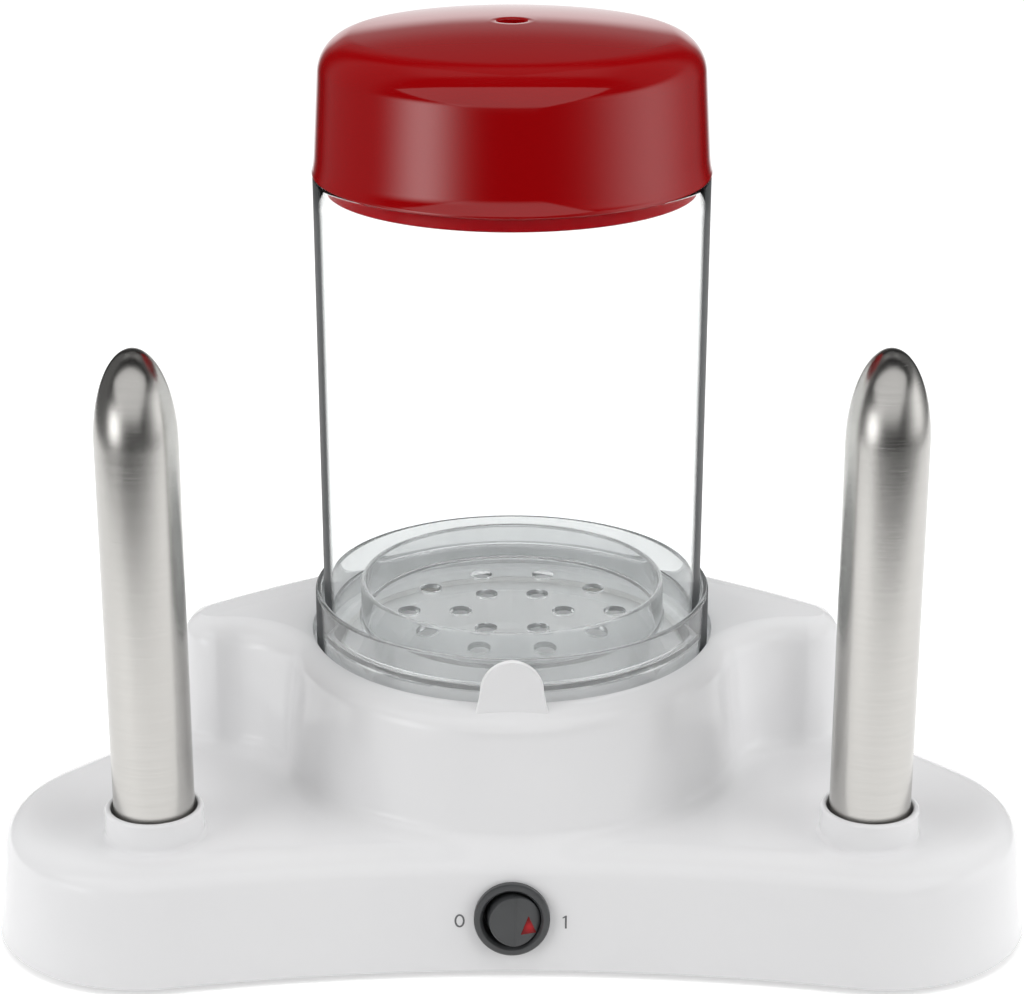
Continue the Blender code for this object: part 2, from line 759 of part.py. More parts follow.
def bottom_cover():
    inset = -HOUSING_WALL - COVER_GAP
    levels = [(HOUSING_FOOT, inset, inset)]
    rise = inset + draft(cover_top, HOUSING_FOOT)
    levels.append((cover_top, rise, rise))
    cover = stack("bottom_cover", slab_samples(), levels, "white_plastic")
    for side in (-1, 1):
        inner = side * (BLOCK_LENGTH / 2 + FIT)
        outer = side * (BLOCK_LENGTH / 2 + FIT + RIB_THICKNESS)
        rib = box("block_rib",
                  (min(inner, outer), block_y - BLOCK_WIDTH / 2, cover_top - BITE),
                  (max(inner, outer), block_y + BLOCK_WIDTH / 2, cover_top + RIB_HEIGHT),
                  None, cutters)
        join(cover, rib)
    holes = []
    for (x, y), top in cover_posts():
        hole = cylinder("hole", screw_hole, HOUSING_FOOT - OVERRUN, cover_top + OVERRUN, None,
                        SCREW_STEPS)
        holes.append(stand_at(hole, x, y))
    for x, y in mirrored_places(FRONT_FOOT) + mirrored_places(REAR_FOOT):
        hole = cylinder("hole", FOOT_SPIGOT + FIT, HOUSING_FOOT - OVERRUN, cover_top + OVERRUN,
                        None, SCREW_STEPS)
        holes.append(stand_at(hole, x, y))
    cut(cover, merge_shapes("cover_holes", holes, None, cutters))
    return cover


block_y = tower_y + BLOCK_Y
block_foot = cover_top + FIT


def screw(name, place, seat, bite):
    # A screw that goes up: its head lies under the seat
    x, y = place
    top = seat - FIT
    profile = [(0, top + bite), (SCREW_SHANK, top + bite), (SCREW_SHANK, top),
               (SCREW_HEAD, top), (SCREW_HEAD, top - SCREW_HEAD_HEIGHT),
               (0, top - SCREW_HEAD_HEIGHT)]
    body = turned(name, profile, "zinc_steel", SCREW_STEPS, closed=False)
    return stand_at(body, x, y)


def screw_row(name, places, seat, bite):
    for number, place in enumerate(places, 1):
        screw(f"{name}_{number}", place, seat, bite)


def cover_screws():
    places = [place for place, top in cover_posts()]
    screw_row("cover_screw", places, HOUSING_FOOT, COVER_THICKNESS + SCREW_BITE)


def rubber_feet():
    foot_top = HOUSING_FOOT - FIT
    barb_foot = cover_top + FIT
    places = mirrored_places(FRONT_FOOT) + mirrored_places(REAR_FOOT)
    for number, (x, y) in enumerate(places, 1):
        profile = [(0, barb_foot + FOOT_BARB_HEIGHT),
                   (FOOT_SPIGOT, barb_foot + FOOT_BARB_HEIGHT),
                   (FOOT_BARB, barb_foot),
                   (FOOT_SPIGOT, barb_foot),
                   (FOOT_SPIGOT, foot_top),
                   (FOOT_RADIUS, foot_top),
                   (FOOT_RADIUS, FOOT_ROUND),
                   (FOOT_RADIUS - FOOT_ROUND, 0),
                   (0, 0)]
        foot = turned(f"rubber_foot_{number}", profile, "grey_rubber", SMALL_STEPS, closed=False)
        stand_at(foot, x, y)


def cord_gland():
    inside = -HOUSING_WALL - GLAND_INSIDE
    profile = [(GLAND_BORE, gland_out), (GLAND_FLANGE - GLAND_CHAMFER, gland_out),
               (GLAND_FLANGE, gland_out - GLAND_CHAMFER), (GLAND_FLANGE, FIT),
               (GLAND_RADIUS, FIT), (GLAND_RADIUS, inside), (GLAND_BORE, inside)]
    gland = turned("cord_gland", profile, "dark_plastic", SMALL_STEPS)
    return aim(gland, gland_place, gland_axis)


# Water dish, heating element and what guards them

def heating_dish():
    sheet = DISH_SHEET
    wall_top = dish_top
    outer = DISH_RADIUS + sheet
    under_top = wall_top - sheet
    profile = [(DISH_FLANGE, wall_top), (DISH_FLANGE, under_top), (outer, under_top),
               (outer, dish_under + DISH_CORNER)]
    for index in range(1, CORNER_STEPS + 1):
        turn = pi / 2 * index / CORNER_STEPS
        profile.append((outer - DISH_CORNER * (1 - cos(turn)),
                        dish_under + DISH_CORNER * (1 - sin(turn))))
    profile.append((0, dish_under))
    profile.append((0, dish_floor_top))
    inner = DISH_CORNER - sheet
    for index in range(CORNER_STEPS, -1, -1):
        turn = pi / 2 * index / CORNER_STEPS
        profile.append((DISH_RADIUS - inner * (1 - cos(turn)),
                        dish_floor_top + inner * (1 - sin(turn))))
    profile.append((DISH_RADIUS, wall_top))
    # The bowl's sheet meets the axis, so the profile is open between its two points there
    split = profile.index((0, dish_floor_top))
    opened = profile[split:] + profile[:split]
    dish = turned("heating_dish", opened, "dish_steel", closed=False)
    stand_at(dish, 0, tower_y)
    for x, y in stud_places() + [(EARTH_STUD[0], tower_y + EARTH_STUD[1])]:
        stud = cylinder("stud", STUD_RADIUS, dish_under - STUD_LENGTH, dish_under + sheet / 2,
                        None, SCREW_STEPS, cutters)
        join(dish, stand_at(stud, x, y))
    holes = []
    for x, y in dish_screw_places():
        hole = cylinder("hole", screw_hole, under_top - OVERRUN, wall_top + OVERRUN, None,
                        SCREW_STEPS)
        holes.append(stand_at(hole, x, y))
    cut(dish, merge_shapes("dish_holes", holes, None, cutters))
    return dish


def stud_places():
    return [(-STUD_REACH, tower_y), (STUD_REACH, tower_y)]


def dish_seal():
    profile = [(SEAL_INNER, seal_top), (SEAL_OUTER, seal_top),
               (SEAL_OUTER, seal_foot), (SEAL_INNER, seal_foot)]
    return stand_at(turned("dish_seal", profile, "silicone"), 0, tower_y)


def dish_screws():
    screw_row("dish_screw", dish_screw_places(), dish_top - DISH_SHEET,
              DISH_SHEET + DISH_SCREW_LIFT)


element_height = dish_under - FIT - ELEMENT_RADIUS


def element_end(side):
    # Where the element's turned-down end leads off; side is -1 or 1
    turn = pi / 2 - side * ELEMENT_GAP_TURN
    return Vector((ELEMENT_RING * cos(turn), tower_y + ELEMENT_RING * sin(turn),
                   element_height - ELEMENT_DROP))


def element_turndown(side):
    # A quarter bend from the ring's tangent down to the end
    turn = pi / 2 - side * ELEMENT_GAP_TURN
    tangent = Vector((-side * sin(turn), side * cos(turn), 0)) * -1
    end = element_end(side)
    top = Vector((end.x, end.y, element_height))
    points = []
    for index in range(BEND_STEPS + 1):
        bend = pi / 2 * index / BEND_STEPS
        back = ELEMENT_BEND * (1 - sin(bend))
        drop = ELEMENT_BEND * (1 - cos(bend))
        points.append(top + tangent * back - Vector((0, 0, drop)))
    points.append(end)
    return points


def heating_element():
    short = ELEMENT_GAP_TURN + ELEMENT_BEND * ELEMENT_LEAD_SHARE / ELEMENT_RING
    start = pi / 2 + short
    end = pi / 2 - short + 2 * pi
    ring = []
    for index in range(RING_STEPS + 1):
        turn = start + (end - start) * index / RING_STEPS
        ring.append(Vector((ELEMENT_RING * cos(turn), tower_y + ELEMENT_RING * sin(turn),
                            element_height)))
    left = list(reversed(element_turndown(-1)))
    right = element_turndown(1)
    return tube("heating_element", left + ring + right, ELEMENT_RADIUS, "dish_steel",
                ELEMENT_BEVEL_STEPS)


thermostat_top = dish_under - FIT
thermostat_foot = thermostat_top - THERMOSTAT_HEIGHT
bracket_top = thermostat_top - THERMOSTAT_FLANGE_HEIGHT - FIT
bracket_foot = bracket_top - BRACKET_SHEET


def thermostat():
    flange_foot = thermostat_top - THERMOSTAT_FLANGE_HEIGHT
    profile = [(0, thermostat_top), (THERMOSTAT_FLANGE, thermostat_top),
               (THERMOSTAT_FLANGE, flange_foot), (THERMOSTAT_RADIUS, flange_foot),
               (THERMOSTAT_RADIUS, thermostat_foot), (0, thermostat_foot)]
    body = turned("thermostat", profile, "brown_phenolic", SPIKE_STEPS, closed=False)
    stand_at(body, 0, tower_y)
    for side in (-1, 1):
        blade = box("blade", (side * BLADE_REACH - BLADE_THICKNESS / 2,
                              tower_y - BLADE_WIDTH / 2, thermostat_foot - BLADE_LENGTH),
                    (side * BLADE_REACH + BLADE_THICKNESS / 2,
                     tower_y + BLADE_WIDTH / 2, thermostat_foot + BITE), None, cutters)
        join(body, blade)
    return body


def thermostat_bracket():
    bracket = box("thermostat_bracket",
                  (-BRACKET_LENGTH / 2, tower_y - BRACKET_WIDTH / 2, bracket_foot),
                  (BRACKET_LENGTH / 2, tower_y + BRACKET_WIDTH / 2, bracket_top), "zinc_steel")
    hole = cylinder("hole", THERMOSTAT_RADIUS + FIT, bracket_foot - OVERRUN,
                    bracket_top + OVERRUN, None, SPIKE_STEPS)
    holes = [stand_at(hole, 0, tower_y)]
    for x, y in stud_places():
        hole = cylinder("hole", STUD_RADIUS + FIT, bracket_foot - OVERRUN,
                        bracket_top + OVERRUN, None, SCREW_STEPS)
        holes.append(stand_at(hole, x, y))
    cut(bracket, merge_shapes("bracket_holes", holes, None, cutters))
    return bracket


def bracket_nuts():
    top = bracket_foot - FIT
    for number, (x, y) in enumerate(stud_places(), 1):
        nut = cylinder(f"bracket_nut_{number}", NUT_RADIUS, top - NUT_HEIGHT, top,
                       "zinc_steel", NUT_SIDES)
        bore = cylinder("nut_bore", STUD_RADIUS + FIT, top - NUT_HEIGHT - OVERRUN,
                        top + OVERRUN, None, SCREW_STEPS, cutters)
        cut(nut, stand_at(bore, x, y))
        stand_at(nut, x, y)


fuse_place = Vector((0, tower_y + FUSE_Y, dish_under - FIT - FUSE_RADIUS))


def thermal_fuse():
    fuse = cylinder("thermal_fuse", FUSE_RADIUS, -FUSE_LENGTH / 2, FUSE_LENGTH / 2,
                    "ceramic", SCREW_STEPS)
    return aim(fuse, fuse_place, (1, 0, 0))


def fuse_clip():
    # A strap round the fuse, drawn in the plane across it, with its feet on the dish
    inner = FUSE_RADIUS + FIT
    outer = inner + CLIP_SHEET
    seat = FUSE_RADIUS
    points = [(outer + CLIP_FOOT, seat), (inner, seat)]
    for index in range(CLIP_STEPS + 1):
        turn = -pi * index / CLIP_STEPS
        points.append((inner * cos(turn), inner * sin(turn)))
    points += [(-inner, seat), (-outer - CLIP_FOOT, seat),
               (-outer - CLIP_FOOT, seat - CLIP_SHEET), (-outer, seat - CLIP_SHEET)]
    for index in range(CLIP_STEPS, -1, -1):
        turn = -pi * index / CLIP_STEPS
        points.append((outer * cos(turn), outer * sin(turn)))
    points += [(outer, seat - CLIP_SHEET), (outer + CLIP_FOOT, seat - CLIP_SHEET)]
    clip = flat_plate("fuse_clip", points, CLIP_WIDTH, "zinc_steel")
    clip.rotation_euler = (pi / 2, 0, pi / 2)
    clip.location = fuse_place
    return clip


def terminal_block():
    block = box("terminal_block",
                (-BLOCK_LENGTH / 2, block_y - BLOCK_WIDTH / 2, block_foot),
                (BLOCK_LENGTH / 2, block_y + BLOCK_WIDTH / 2, block_foot + BLOCK_HEIGHT),
                "ceramic")
    return soften(block, BLOCK_BEVEL, 1)


# Bread spikes

def spike_tube(side, name):
    inner = SPIKE_RADIUS - SPIKE_WALL
    outside = []
    inside = []
    for index in range(TIP_STEPS + 1):
        turn = pi / 2 * index / TIP_STEPS
        outside.append((SPIKE_RADIUS * sin(turn), spike_shoulder + SPIKE_TIP * cos(turn)))
        inside.append((inner * sin(turn), spike_shoulder + (SPIKE_TIP - SPIKE_WALL) * cos(turn)))
    outside[0] = (0, spike_shoulder + SPIKE_TIP)
    inside[0] = (0, spike_shoulder + SPIKE_TIP - SPIKE_WALL)
    foot = [(SPIKE_RADIUS, spike_flange_top), (SPIKE_FLANGE_RADIUS, spike_flange_top),
            (SPIKE_FLANGE_RADIUS, spike_foot), (inner, spike_foot)]
    profile = outside + foot + list(reversed(inside))
    spike = turned(name, profile, "brushed_steel", SPIKE_STEPS, closed=False)
    return stand_at(spike, side * SPIKE_X, tower_y + SPIKE_Y)


def spike_bush(side, name):
    bore = SPIKE_RADIUS + FIT
    profile = [(bore, bush_top), (BUSH_RADIUS, bush_top), (BUSH_RADIUS, bush_foot),
               (bore, bush_foot)]
    bush = turned(name, profile, "brown_phenolic", SPIKE_STEPS)
    return stand_at(bush, side * SPIKE_X, tower_y + SPIKE_Y)


def spike_plate(side, name):
    x = side * SPIKE_X
    y = tower_y + SPIKE_Y
    plate = box(name, (-PLATE_LENGTH / 2, -PLATE_WIDTH / 2, plate_foot),
                (PLATE_LENGTH / 2, PLATE_WIDTH / 2, plate_top), "zinc_steel")
    hole = cylinder("hole", PLATE_HOLE, plate_foot - OVERRUN, plate_top + OVERRUN, None,
                    SPIKE_STEPS)
    holes = [hole]
    for reach in (-SPIKE_POST_REACH, SPIKE_POST_REACH):
        hole = cylinder("hole", screw_hole, plate_foot - OVERRUN, plate_top + OVERRUN, None,
                        SCREW_STEPS)
        holes.append(stand_at(hole, reach, 0))
    tool = merge_shapes(name + "_holes", holes, None, cutters)
    cut(plate, stand_at(tool, x, y))
    return stand_at(plate, x, y)


def spike_screws():
    screw_row("spike_screw", spike_post_places(), plate_foot, PLATE_THICKNESS + SCREW_BITE)


def spike_heater(side, name):
    disc = SPIKE_RADIUS - SPIKE_WALL - FIT
    top = spike_shoulder - HEATER_SHORT
    foot = plate_top + FIT
    middle = (foot + top) / 2
    profile = [(0, top), (disc, top), (disc, top - HEATER_DISC),
               (HEATER_CORE, top - HEATER_DISC),
               (HEATER_CORE, middle + HEATER_DISC / 2), (disc, middle + HEATER_DISC / 2),
               (disc, middle - HEATER_DISC / 2), (HEATER_CORE, middle - HEATER_DISC / 2),
               (HEATER_CORE, foot + HEATER_DISC), (disc, foot + HEATER_DISC),
               (disc, foot), (0, foot)]
    heater = turned(name, profile, "ceramic", SMALL_STEPS, closed=False)
    return stand_at(heater, side * SPIKE_X, tower_y + SPIKE_Y)


# Rocker switch, in the frame of the drafted front wall: X right, Y up, Z outwards

def switch_frame():
    frame = bpy.data.objects.new("switch_frame", None)
    parts.objects.link(frame)
    frame.location = switch_place
    frame.rotation_euler = switch_turn
    return frame


def switch_body(frame):
    front = SWITCH_SEAT + BEZEL_FRONT
    slope_foot = front - BEZEL_SLOPE_DROP
    profile = [(BEZEL_SLOPE_RADIUS, front), (BEZEL_RADIUS - BEZEL_ROUND, front),
               (BEZEL_RADIUS, front - BEZEL_ROUND), (BEZEL_RADIUS, SWITCH_SEAT),
               (BARREL_RADIUS, SWITCH_SEAT), (BARREL_RADIUS, -BARREL_LENGTH),
               (0, -BARREL_LENGTH)]
    inside = [(0, -BARREL_FLOOR), (BARREL_BORE, -BARREL_FLOOR), (BARREL_BORE, slope_foot)]
    body = turned("switch_body", inside + profile, "dark_plastic", SPIKE_STEPS, closed=False)
    body.parent = frame
    lug_top = -HOUSING_WALL - FIT
    for side in (-1, 1):
        near = side * (BARREL_RADIUS - FIT * 2)
        far = side * LUG_REACH
        lug = box("lug", (min(near, far), -LUG_WIDTH / 2, lug_top - LUG_LENGTH),
                  (max(near, far), LUG_WIDTH / 2, lug_top), None, cutters)
        lug.parent = frame
        join(body, lug)
    return body


def switch_terminals(frame):
    top = -BARREL_LENGTH - FIT
    for side, word in ((-1, "left"), (1, "right")):
        blade = box(word + "_switch_terminal",
                    (side * BLADE_REACH - BLADE_THICKNESS / 2, -BLADE_WIDTH / 2,
                     top - BLADE_LENGTH),
                    (side * BLADE_REACH + BLADE_THICKNESS / 2, BLADE_WIDTH / 2, top), "brass")
        blade.parent = frame


def rocker_pin(frame):
    reach = (BARREL_BORE ** 2 - PIN_RADIUS ** 2) ** 0.5 - FIT
    pin = cylinder("rocker_pin", PIN_RADIUS, -reach, reach, "brushed_steel", SCREW_STEPS)
    pin.parent = frame
    pin.location = (0, 0, -ROCKER_PIVOT)
    pin.rotation_euler = (pi / 2, 0, 0)
    return pin


def switch_rocker(frame):
    # A short round block whose front falls away on both sides of a crest
    form = bmesh.new()
    height = ROCKER_CREST + ROCKER_BACK
    middle = (ROCKER_CREST - ROCKER_BACK) / 2
    bmesh.ops.create_cone(form, cap_ends=True, segments=SPIKE_STEPS, radius1=ROCKER_RADIUS,
                          radius2=ROCKER_RADIUS, depth=height,
                          matrix=Matrix.Translation((0, 0, middle)))
    for side in (-1, 1):
        geometry = form.verts[:] + form.edges[:] + form.faces[:]
        bmesh.ops.bisect_plane(form, geom=geometry, plane_co=(0, 0, ROCKER_CREST),
                               plane_no=(side * sin(ROCKER_TILT), 0, cos(ROCKER_TILT)),
                               clear_outer=True)
        rim = [edge for edge in form.edges if edge.is_boundary]
        bmesh.ops.edgenet_fill(form, edges=rim)
    bmesh.ops.recalc_face_normals(form, faces=form.faces)
    rocker = mesh_object("switch_rocker", form, "dark_plastic")
    rocker.parent = frame
    rocker.location = (0, 0, -ROCKER_PIVOT)
    rocker.rotation_euler = (0, ROCKER_TILT, 0)
    bore = cylinder("pin_bore", PIN_RADIUS + FIT, -BARREL_BORE, BARREL_BORE, None,
                    SCREW_STEPS, cutters)
    bore.parent = rocker
    bore.rotation_euler = (pi / 2, 0, 0)
    cut(rocker, bore)
    cut(rocker, lens_prism("lens_pocket", FIT, rocker, None, cutters))
    return rocker


def lens_prism(name, growth, rocker, material, collection=None):
    # A three-sided prism on its base, set in the rocker's right face and just proud of it
    half = LENS_BASE / 2 + growth * 2
    points = [(-half, LENS_FOOT - growth), (half, LENS_FOOT - growth),
              (0, LENS_FOOT + LENS_HEIGHT + growth * 2)]
    depth = LENS_DEPTH + growth
    prism = flat_plate(name, points, depth + LENS_PROUD, material, collection)
    prism.parent = rocker
    prism.rotation_euler = (0, ROCKER_TILT, 0)
    along = Vector((cos(ROCKER_TILT), 0, -sin(ROCKER_TILT)))
    out = Vector((sin(ROCKER_TILT), 0, cos(ROCKER_TILT)))
    middle = (LENS_PROUD - depth) / 2
    prism.location = Vector((0, 0, ROCKER_CREST)) + along * LENS_X + out * middle
    return prism


def rocker_lens(rocker):
    return lens_prism("rocker_lens", 0, rocker, "red_lens")


# Tray, jar and lid, which lift off in turn

def sausage_tray():
    inner = TRAY_RADIUS - TRAY_WALL
    floor = tray_floor
    under = tray_floor - TRAY_FLOOR_THICKNESS
    top = tray_foot + TRAY_HEIGHT
    ring = TRAY_RING_RADIUS
    ring_in = TRAY_RING_RADIUS - TRAY_RING_WALL
    ring_top = tray_floor + TRAY_RING_HEIGHT
    profile = [(0, floor), (ring_in, floor), (ring_in, ring_top), (ring, ring_top),
               (ring, floor), (inner, floor), (inner, top - TRAY_ROUND),
               (inner + TRAY_ROUND, top), (TRAY_RADIUS - TRAY_ROUND, top),
               (TRAY_RADIUS, top - TRAY_ROUND), (TRAY_RADIUS, tray_foot), (inner, tray_foot),
               (inner, under), (0, under)]
    tray = turned("sausage_tray", profile, "clear_plastic", closed=False)
    stand_at(tray, 0, tower_y)
    holes = []
    for reach, count in zip(STEAM_RING_RADII, STEAM_RING_HOLES):
        for index in range(count):
            turn = 2 * pi * index / count
            hole = cylinder("hole", STEAM_HOLE, under - OVERRUN, floor + OVERRUN, None,
                            SCREW_STEPS)
            holes.append(stand_at(hole, reach * cos(turn), tower_y + reach * sin(turn)))
    cut(tray, merge_shapes("steam_holes", holes, None, cutters))
    return tray


def jar():
    profile = [(JAR_TOP_RADIUS - JAR_WALL, jar_top),
               (JAR_TOP_RADIUS - JAR_ROUND, jar_top), (JAR_TOP_RADIUS, jar_top - JAR_ROUND),
               (JAR_FOOT_RADIUS, jar_foot + JAR_ROUND), (JAR_FOOT_RADIUS - JAR_ROUND, jar_foot),
               (JAR_FOOT_RADIUS - JAR_WALL, jar_foot)]
    return stand_at(turned("jar", profile, "clear_plastic"), 0, tower_y)


def dome(start, shoulder, lean, rounding, crown, dome_radius):
    # From the vent's edge over the dome and round the shoulder, in a few points each
    points = []
    middle = crown - dome_radius
    # The shoulder's arc touches the dome's from inside
    reach = shoulder - rounding
    rise = ((dome_radius - rounding) ** 2 - reach ** 2) ** 0.5
    touch = atan2(rise, reach)
    for index in range(DOME_STEPS + 1):
        x = start + (dome_radius * cos(touch) - start) * index / DOME_STEPS
        points.append((x, middle + (dome_radius ** 2 - x ** 2) ** 0.5))
    for index in range(1, DOME_STEPS + 1):
        turn = touch + (lean - touch) * index / DOME_STEPS
        points.append((reach + rounding * cos(turn), middle + rise + rounding * sin(turn)))
    return points


def lid():
    rim = jar_top + FIT
    # The side leans in from the rim to the shoulder; both skins share that lean
    lean = atan2(LID_RIM_RADIUS - LID_SHOULDER_RADIUS, LID_SHOULDER_HEIGHT)
    reach = LID_SHOULDER_RADIUS - LID_SHOULDER_ROUND
    rise = ((LID_DOME_RADIUS - LID_SHOULDER_ROUND) ** 2 - reach ** 2) ** 0.5
    crown = rim + LID_SHOULDER_HEIGHT - rise + LID_DOME_RADIUS
    outside = dome(LID_VENT, LID_SHOULDER_RADIUS, lean, LID_SHOULDER_ROUND, crown,
                   LID_DOME_RADIUS)
    inside = dome(LID_VENT, LID_SHOULDER_RADIUS - LID_WALL, lean,
                  LID_SHOULDER_ROUND - LID_WALL, crown - LID_WALL, LID_DOME_RADIUS - LID_WALL)
    skirt_in = LID_SKIRT_RADIUS - LID_WALL
    rim_points = [(LID_RIM_RADIUS, rim + LID_RIM_HEIGHT), (LID_RIM_RADIUS, rim),
                  (LID_SKIRT_RADIUS, rim), (LID_SKIRT_RADIUS, rim - LID_SKIRT_DEPTH),
                  (skirt_in, rim - LID_SKIRT_DEPTH), (skirt_in, rim + LID_SKIRT_TOP)]
    profile = outside + rim_points + list(reversed(inside))
    return stand_at(turned("lid", profile, "red_plastic"), 0, tower_y)


# Wires inside the base

def smooth_route(stations):
    # Straight first and last runs, with a smooth curve through the stations between them
    points = [Vector(place) for place in stations]
    route = [points[0]]
    for index in range(1, len(points) - 2):
        before, start, end, after = points[index - 1:index + 3]
        steps = max(2, round((end - start).length / LEAD_STEP))
        for step in range(steps):
            share = step / steps
            bend = (start * 3 - end * 3 - before + after) * share ** 3
            sway = (before * 2 - start * 5 + end * 4 - after) * share ** 2
            route.append(start + ((end - before) * share + sway + bend) / 2)
    return route + points[-2:]


def in_switch_frame(point):
    turn = Matrix.Rotation(switch_turn[0], 4, "X")
    return Vector(switch_place) + turn @ Vector(point)


def leads():
    tip = LEAD_RADIUS + FIT
    block_front = block_y - BLOCK_WIDTH / 2 - FIT
    pole_height = block_foot + BLOCK_HEIGHT / 2
    poles = [Vector((BLOCK_PITCH * index, block_front, pole_height)) for index in range(-2, 3)]
    before_pole = Vector((0, -BLOCK_WIDTH, 0))
    blade_end = -BARREL_LENGTH - FIT - BLADE_LENGTH - FIT
    switch_left = in_switch_frame((-BLADE_REACH, 0, blade_end))
    switch_right = in_switch_frame((BLADE_REACH, 0, blade_end))
    behind_switch = in_switch_frame((0, 0, blade_end - BLOCK_WIDTH)) - in_switch_frame(
        (0, 0, blade_end))
    blade_foot = thermostat_foot - BLADE_LENGTH - FIT
    drop = Vector((0, 0, -BLOCK_WIDTH / 2))
    thermostat_left = Vector((-BLADE_REACH, tower_y, blade_foot))
    thermostat_right = Vector((BLADE_REACH, tower_y, blade_foot))
    fuse_reach = Vector((FUSE_LENGTH / 2 + FIT, 0, 0))
    fuse_side = Vector((FUSE_LENGTH / 3, 0, 0))
    fuse_swing = Vector((-FUSE_LENGTH * FUSE_SWING_SHARES[0],
                         tower_y + FUSE_Y * FUSE_SWING_SHARES[1], thermostat_foot))
    element_left = element_end(-1) - Vector((0, 0, FIT))
    element_right = element_end(1) - Vector((0, 0, FIT))
    earth_foot = Vector((EARTH_STUD[0], tower_y + EARTH_STUD[1],
                         dish_under - STUD_LENGTH - FIT))

    tube("live_lead", smooth_route([
        poles[1], poles[1] + before_pole, switch_left + behind_switch, switch_left,
    ]), LEAD_RADIUS, "red_wire")
    tube("switched_lead", smooth_route([
        switch_right, switch_right + behind_switch,
        thermostat_right + drop + Vector((0, -BLOCK_WIDTH, 0)),
        thermostat_right + drop, thermostat_right,
    ]), LEAD_RADIUS, "red_wire")
    tube("fuse_lead", smooth_route([
        thermostat_left, thermostat_left + drop, fuse_swing,
        fuse_place - fuse_reach - fuse_side, fuse_place - fuse_reach,
    ]), LEAD_RADIUS, "red_wire")
    tube("element_lead", smooth_route([
        fuse_place + fuse_reach, fuse_place + fuse_reach + fuse_side,
        fuse_place + fuse_reach + fuse_side + drop * 2,
        Vector((0, tower_y + FUSE_Y, element_left.z)) + drop,
        element_left + drop, element_left,
    ]), LEAD_RADIUS, "red_wire")
    tube("neutral_lead", smooth_route([
        element_right, element_right + drop,
        poles[3] + before_pole + Vector((0, 0, BLOCK_HEIGHT)),
        poles[3] + before_pole / 2, poles[3],
    ]), LEAD_RADIUS, "blue_wire")
    tube("earth_lead", smooth_route([
        earth_foot, earth_foot + drop,
        poles[2] + before_pole + Vector((0, 0, BLOCK_HEIGHT)),
        poles[2] + before_pole / 2, poles[2],
    ]), LEAD_RADIUS, "green_wire")
    for side, name in ((-1, "left_spike_lead"), (1, "right_spike_lead")):
        top = Vector((side * SPIKE_X, tower_y + SPIKE_Y, plate_top))
        below = Vector((0, 0, -PLATE_LENGTH / 4))
        across = Vector((-side * SPIKE_POST_REACH, SPIKE_POST_REACH, 0))
        pole = poles[2 + 2 * side]
        tube(name, smooth_route([
            top, top + below / 2, top + below + across / 2,
            Vector((side * LOBE_X / 2, tower_y, pole_height)),
            pole + before_pole + Vector((side * tip, 0, 0)), pole,
        ]), LEAD_RADIUS, "red_wire")


def build():
    global parts, cutters
    clear_scene()
    parts = new_collection("hot_dog_maker")
    cutters = new_collection("cutters")
    make_materials()
    housing()
    bottom_cover()
    cover_screws()
    rubber_feet()
    cord_gland()
    heating_dish()
    dish_seal()
    dish_screws()
    heating_element()
    thermostat()
    thermostat_bracket()
    bracket_nuts()
    thermal_fuse()
    fuse_clip()
    terminal_block()
    for side, word in ((-1, "left"), (1, "right")):
        spike_tube(side, word + "_spike_tube")
        spike_bush(side, word + "_spike_bush")
        spike_plate(side, word + "_spike_plate")
        spike_heater(side, word + "_spike_heater")
    spike_screws()
    frame = switch_frame()
    switch_body(frame)
    switch_terminals(frame)
    rocker_pin(frame)
    rocker = switch_rocker(frame)
    rocker_lens(rocker)
    leads()
    sausage_tray()
    jar()
    lid()


build()
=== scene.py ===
import json
from math import atan2, cos, degrees, hypot, pi, radians, sin, sqrt, tan

import bmesh
import bpy
import numpy as np
from mathutils import Matrix, Vector


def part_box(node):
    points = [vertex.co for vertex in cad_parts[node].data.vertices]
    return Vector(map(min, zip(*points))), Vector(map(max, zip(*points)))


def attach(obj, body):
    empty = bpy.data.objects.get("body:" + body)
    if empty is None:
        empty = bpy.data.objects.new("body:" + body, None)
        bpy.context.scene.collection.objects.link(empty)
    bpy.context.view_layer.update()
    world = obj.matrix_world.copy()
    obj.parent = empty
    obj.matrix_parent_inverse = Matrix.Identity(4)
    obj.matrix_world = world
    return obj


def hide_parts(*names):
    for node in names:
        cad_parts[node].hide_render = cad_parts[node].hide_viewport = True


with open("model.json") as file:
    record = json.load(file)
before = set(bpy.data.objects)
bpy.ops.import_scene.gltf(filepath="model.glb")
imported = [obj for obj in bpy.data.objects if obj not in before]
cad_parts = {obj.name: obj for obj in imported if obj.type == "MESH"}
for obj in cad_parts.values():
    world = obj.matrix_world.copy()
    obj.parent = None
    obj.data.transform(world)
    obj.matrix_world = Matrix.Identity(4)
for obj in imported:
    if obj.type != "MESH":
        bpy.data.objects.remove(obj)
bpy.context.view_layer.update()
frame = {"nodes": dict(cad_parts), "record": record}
scene = bpy.context.scene
jarLow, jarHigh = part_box("jar")
towerY = (jarLow.y + jarHigh.y) / 2  # everything round stands on this axis
print("frame loaded, tower axis at", round(towerY, 5))


# node maths: a socket that can be added, multiplied and so on

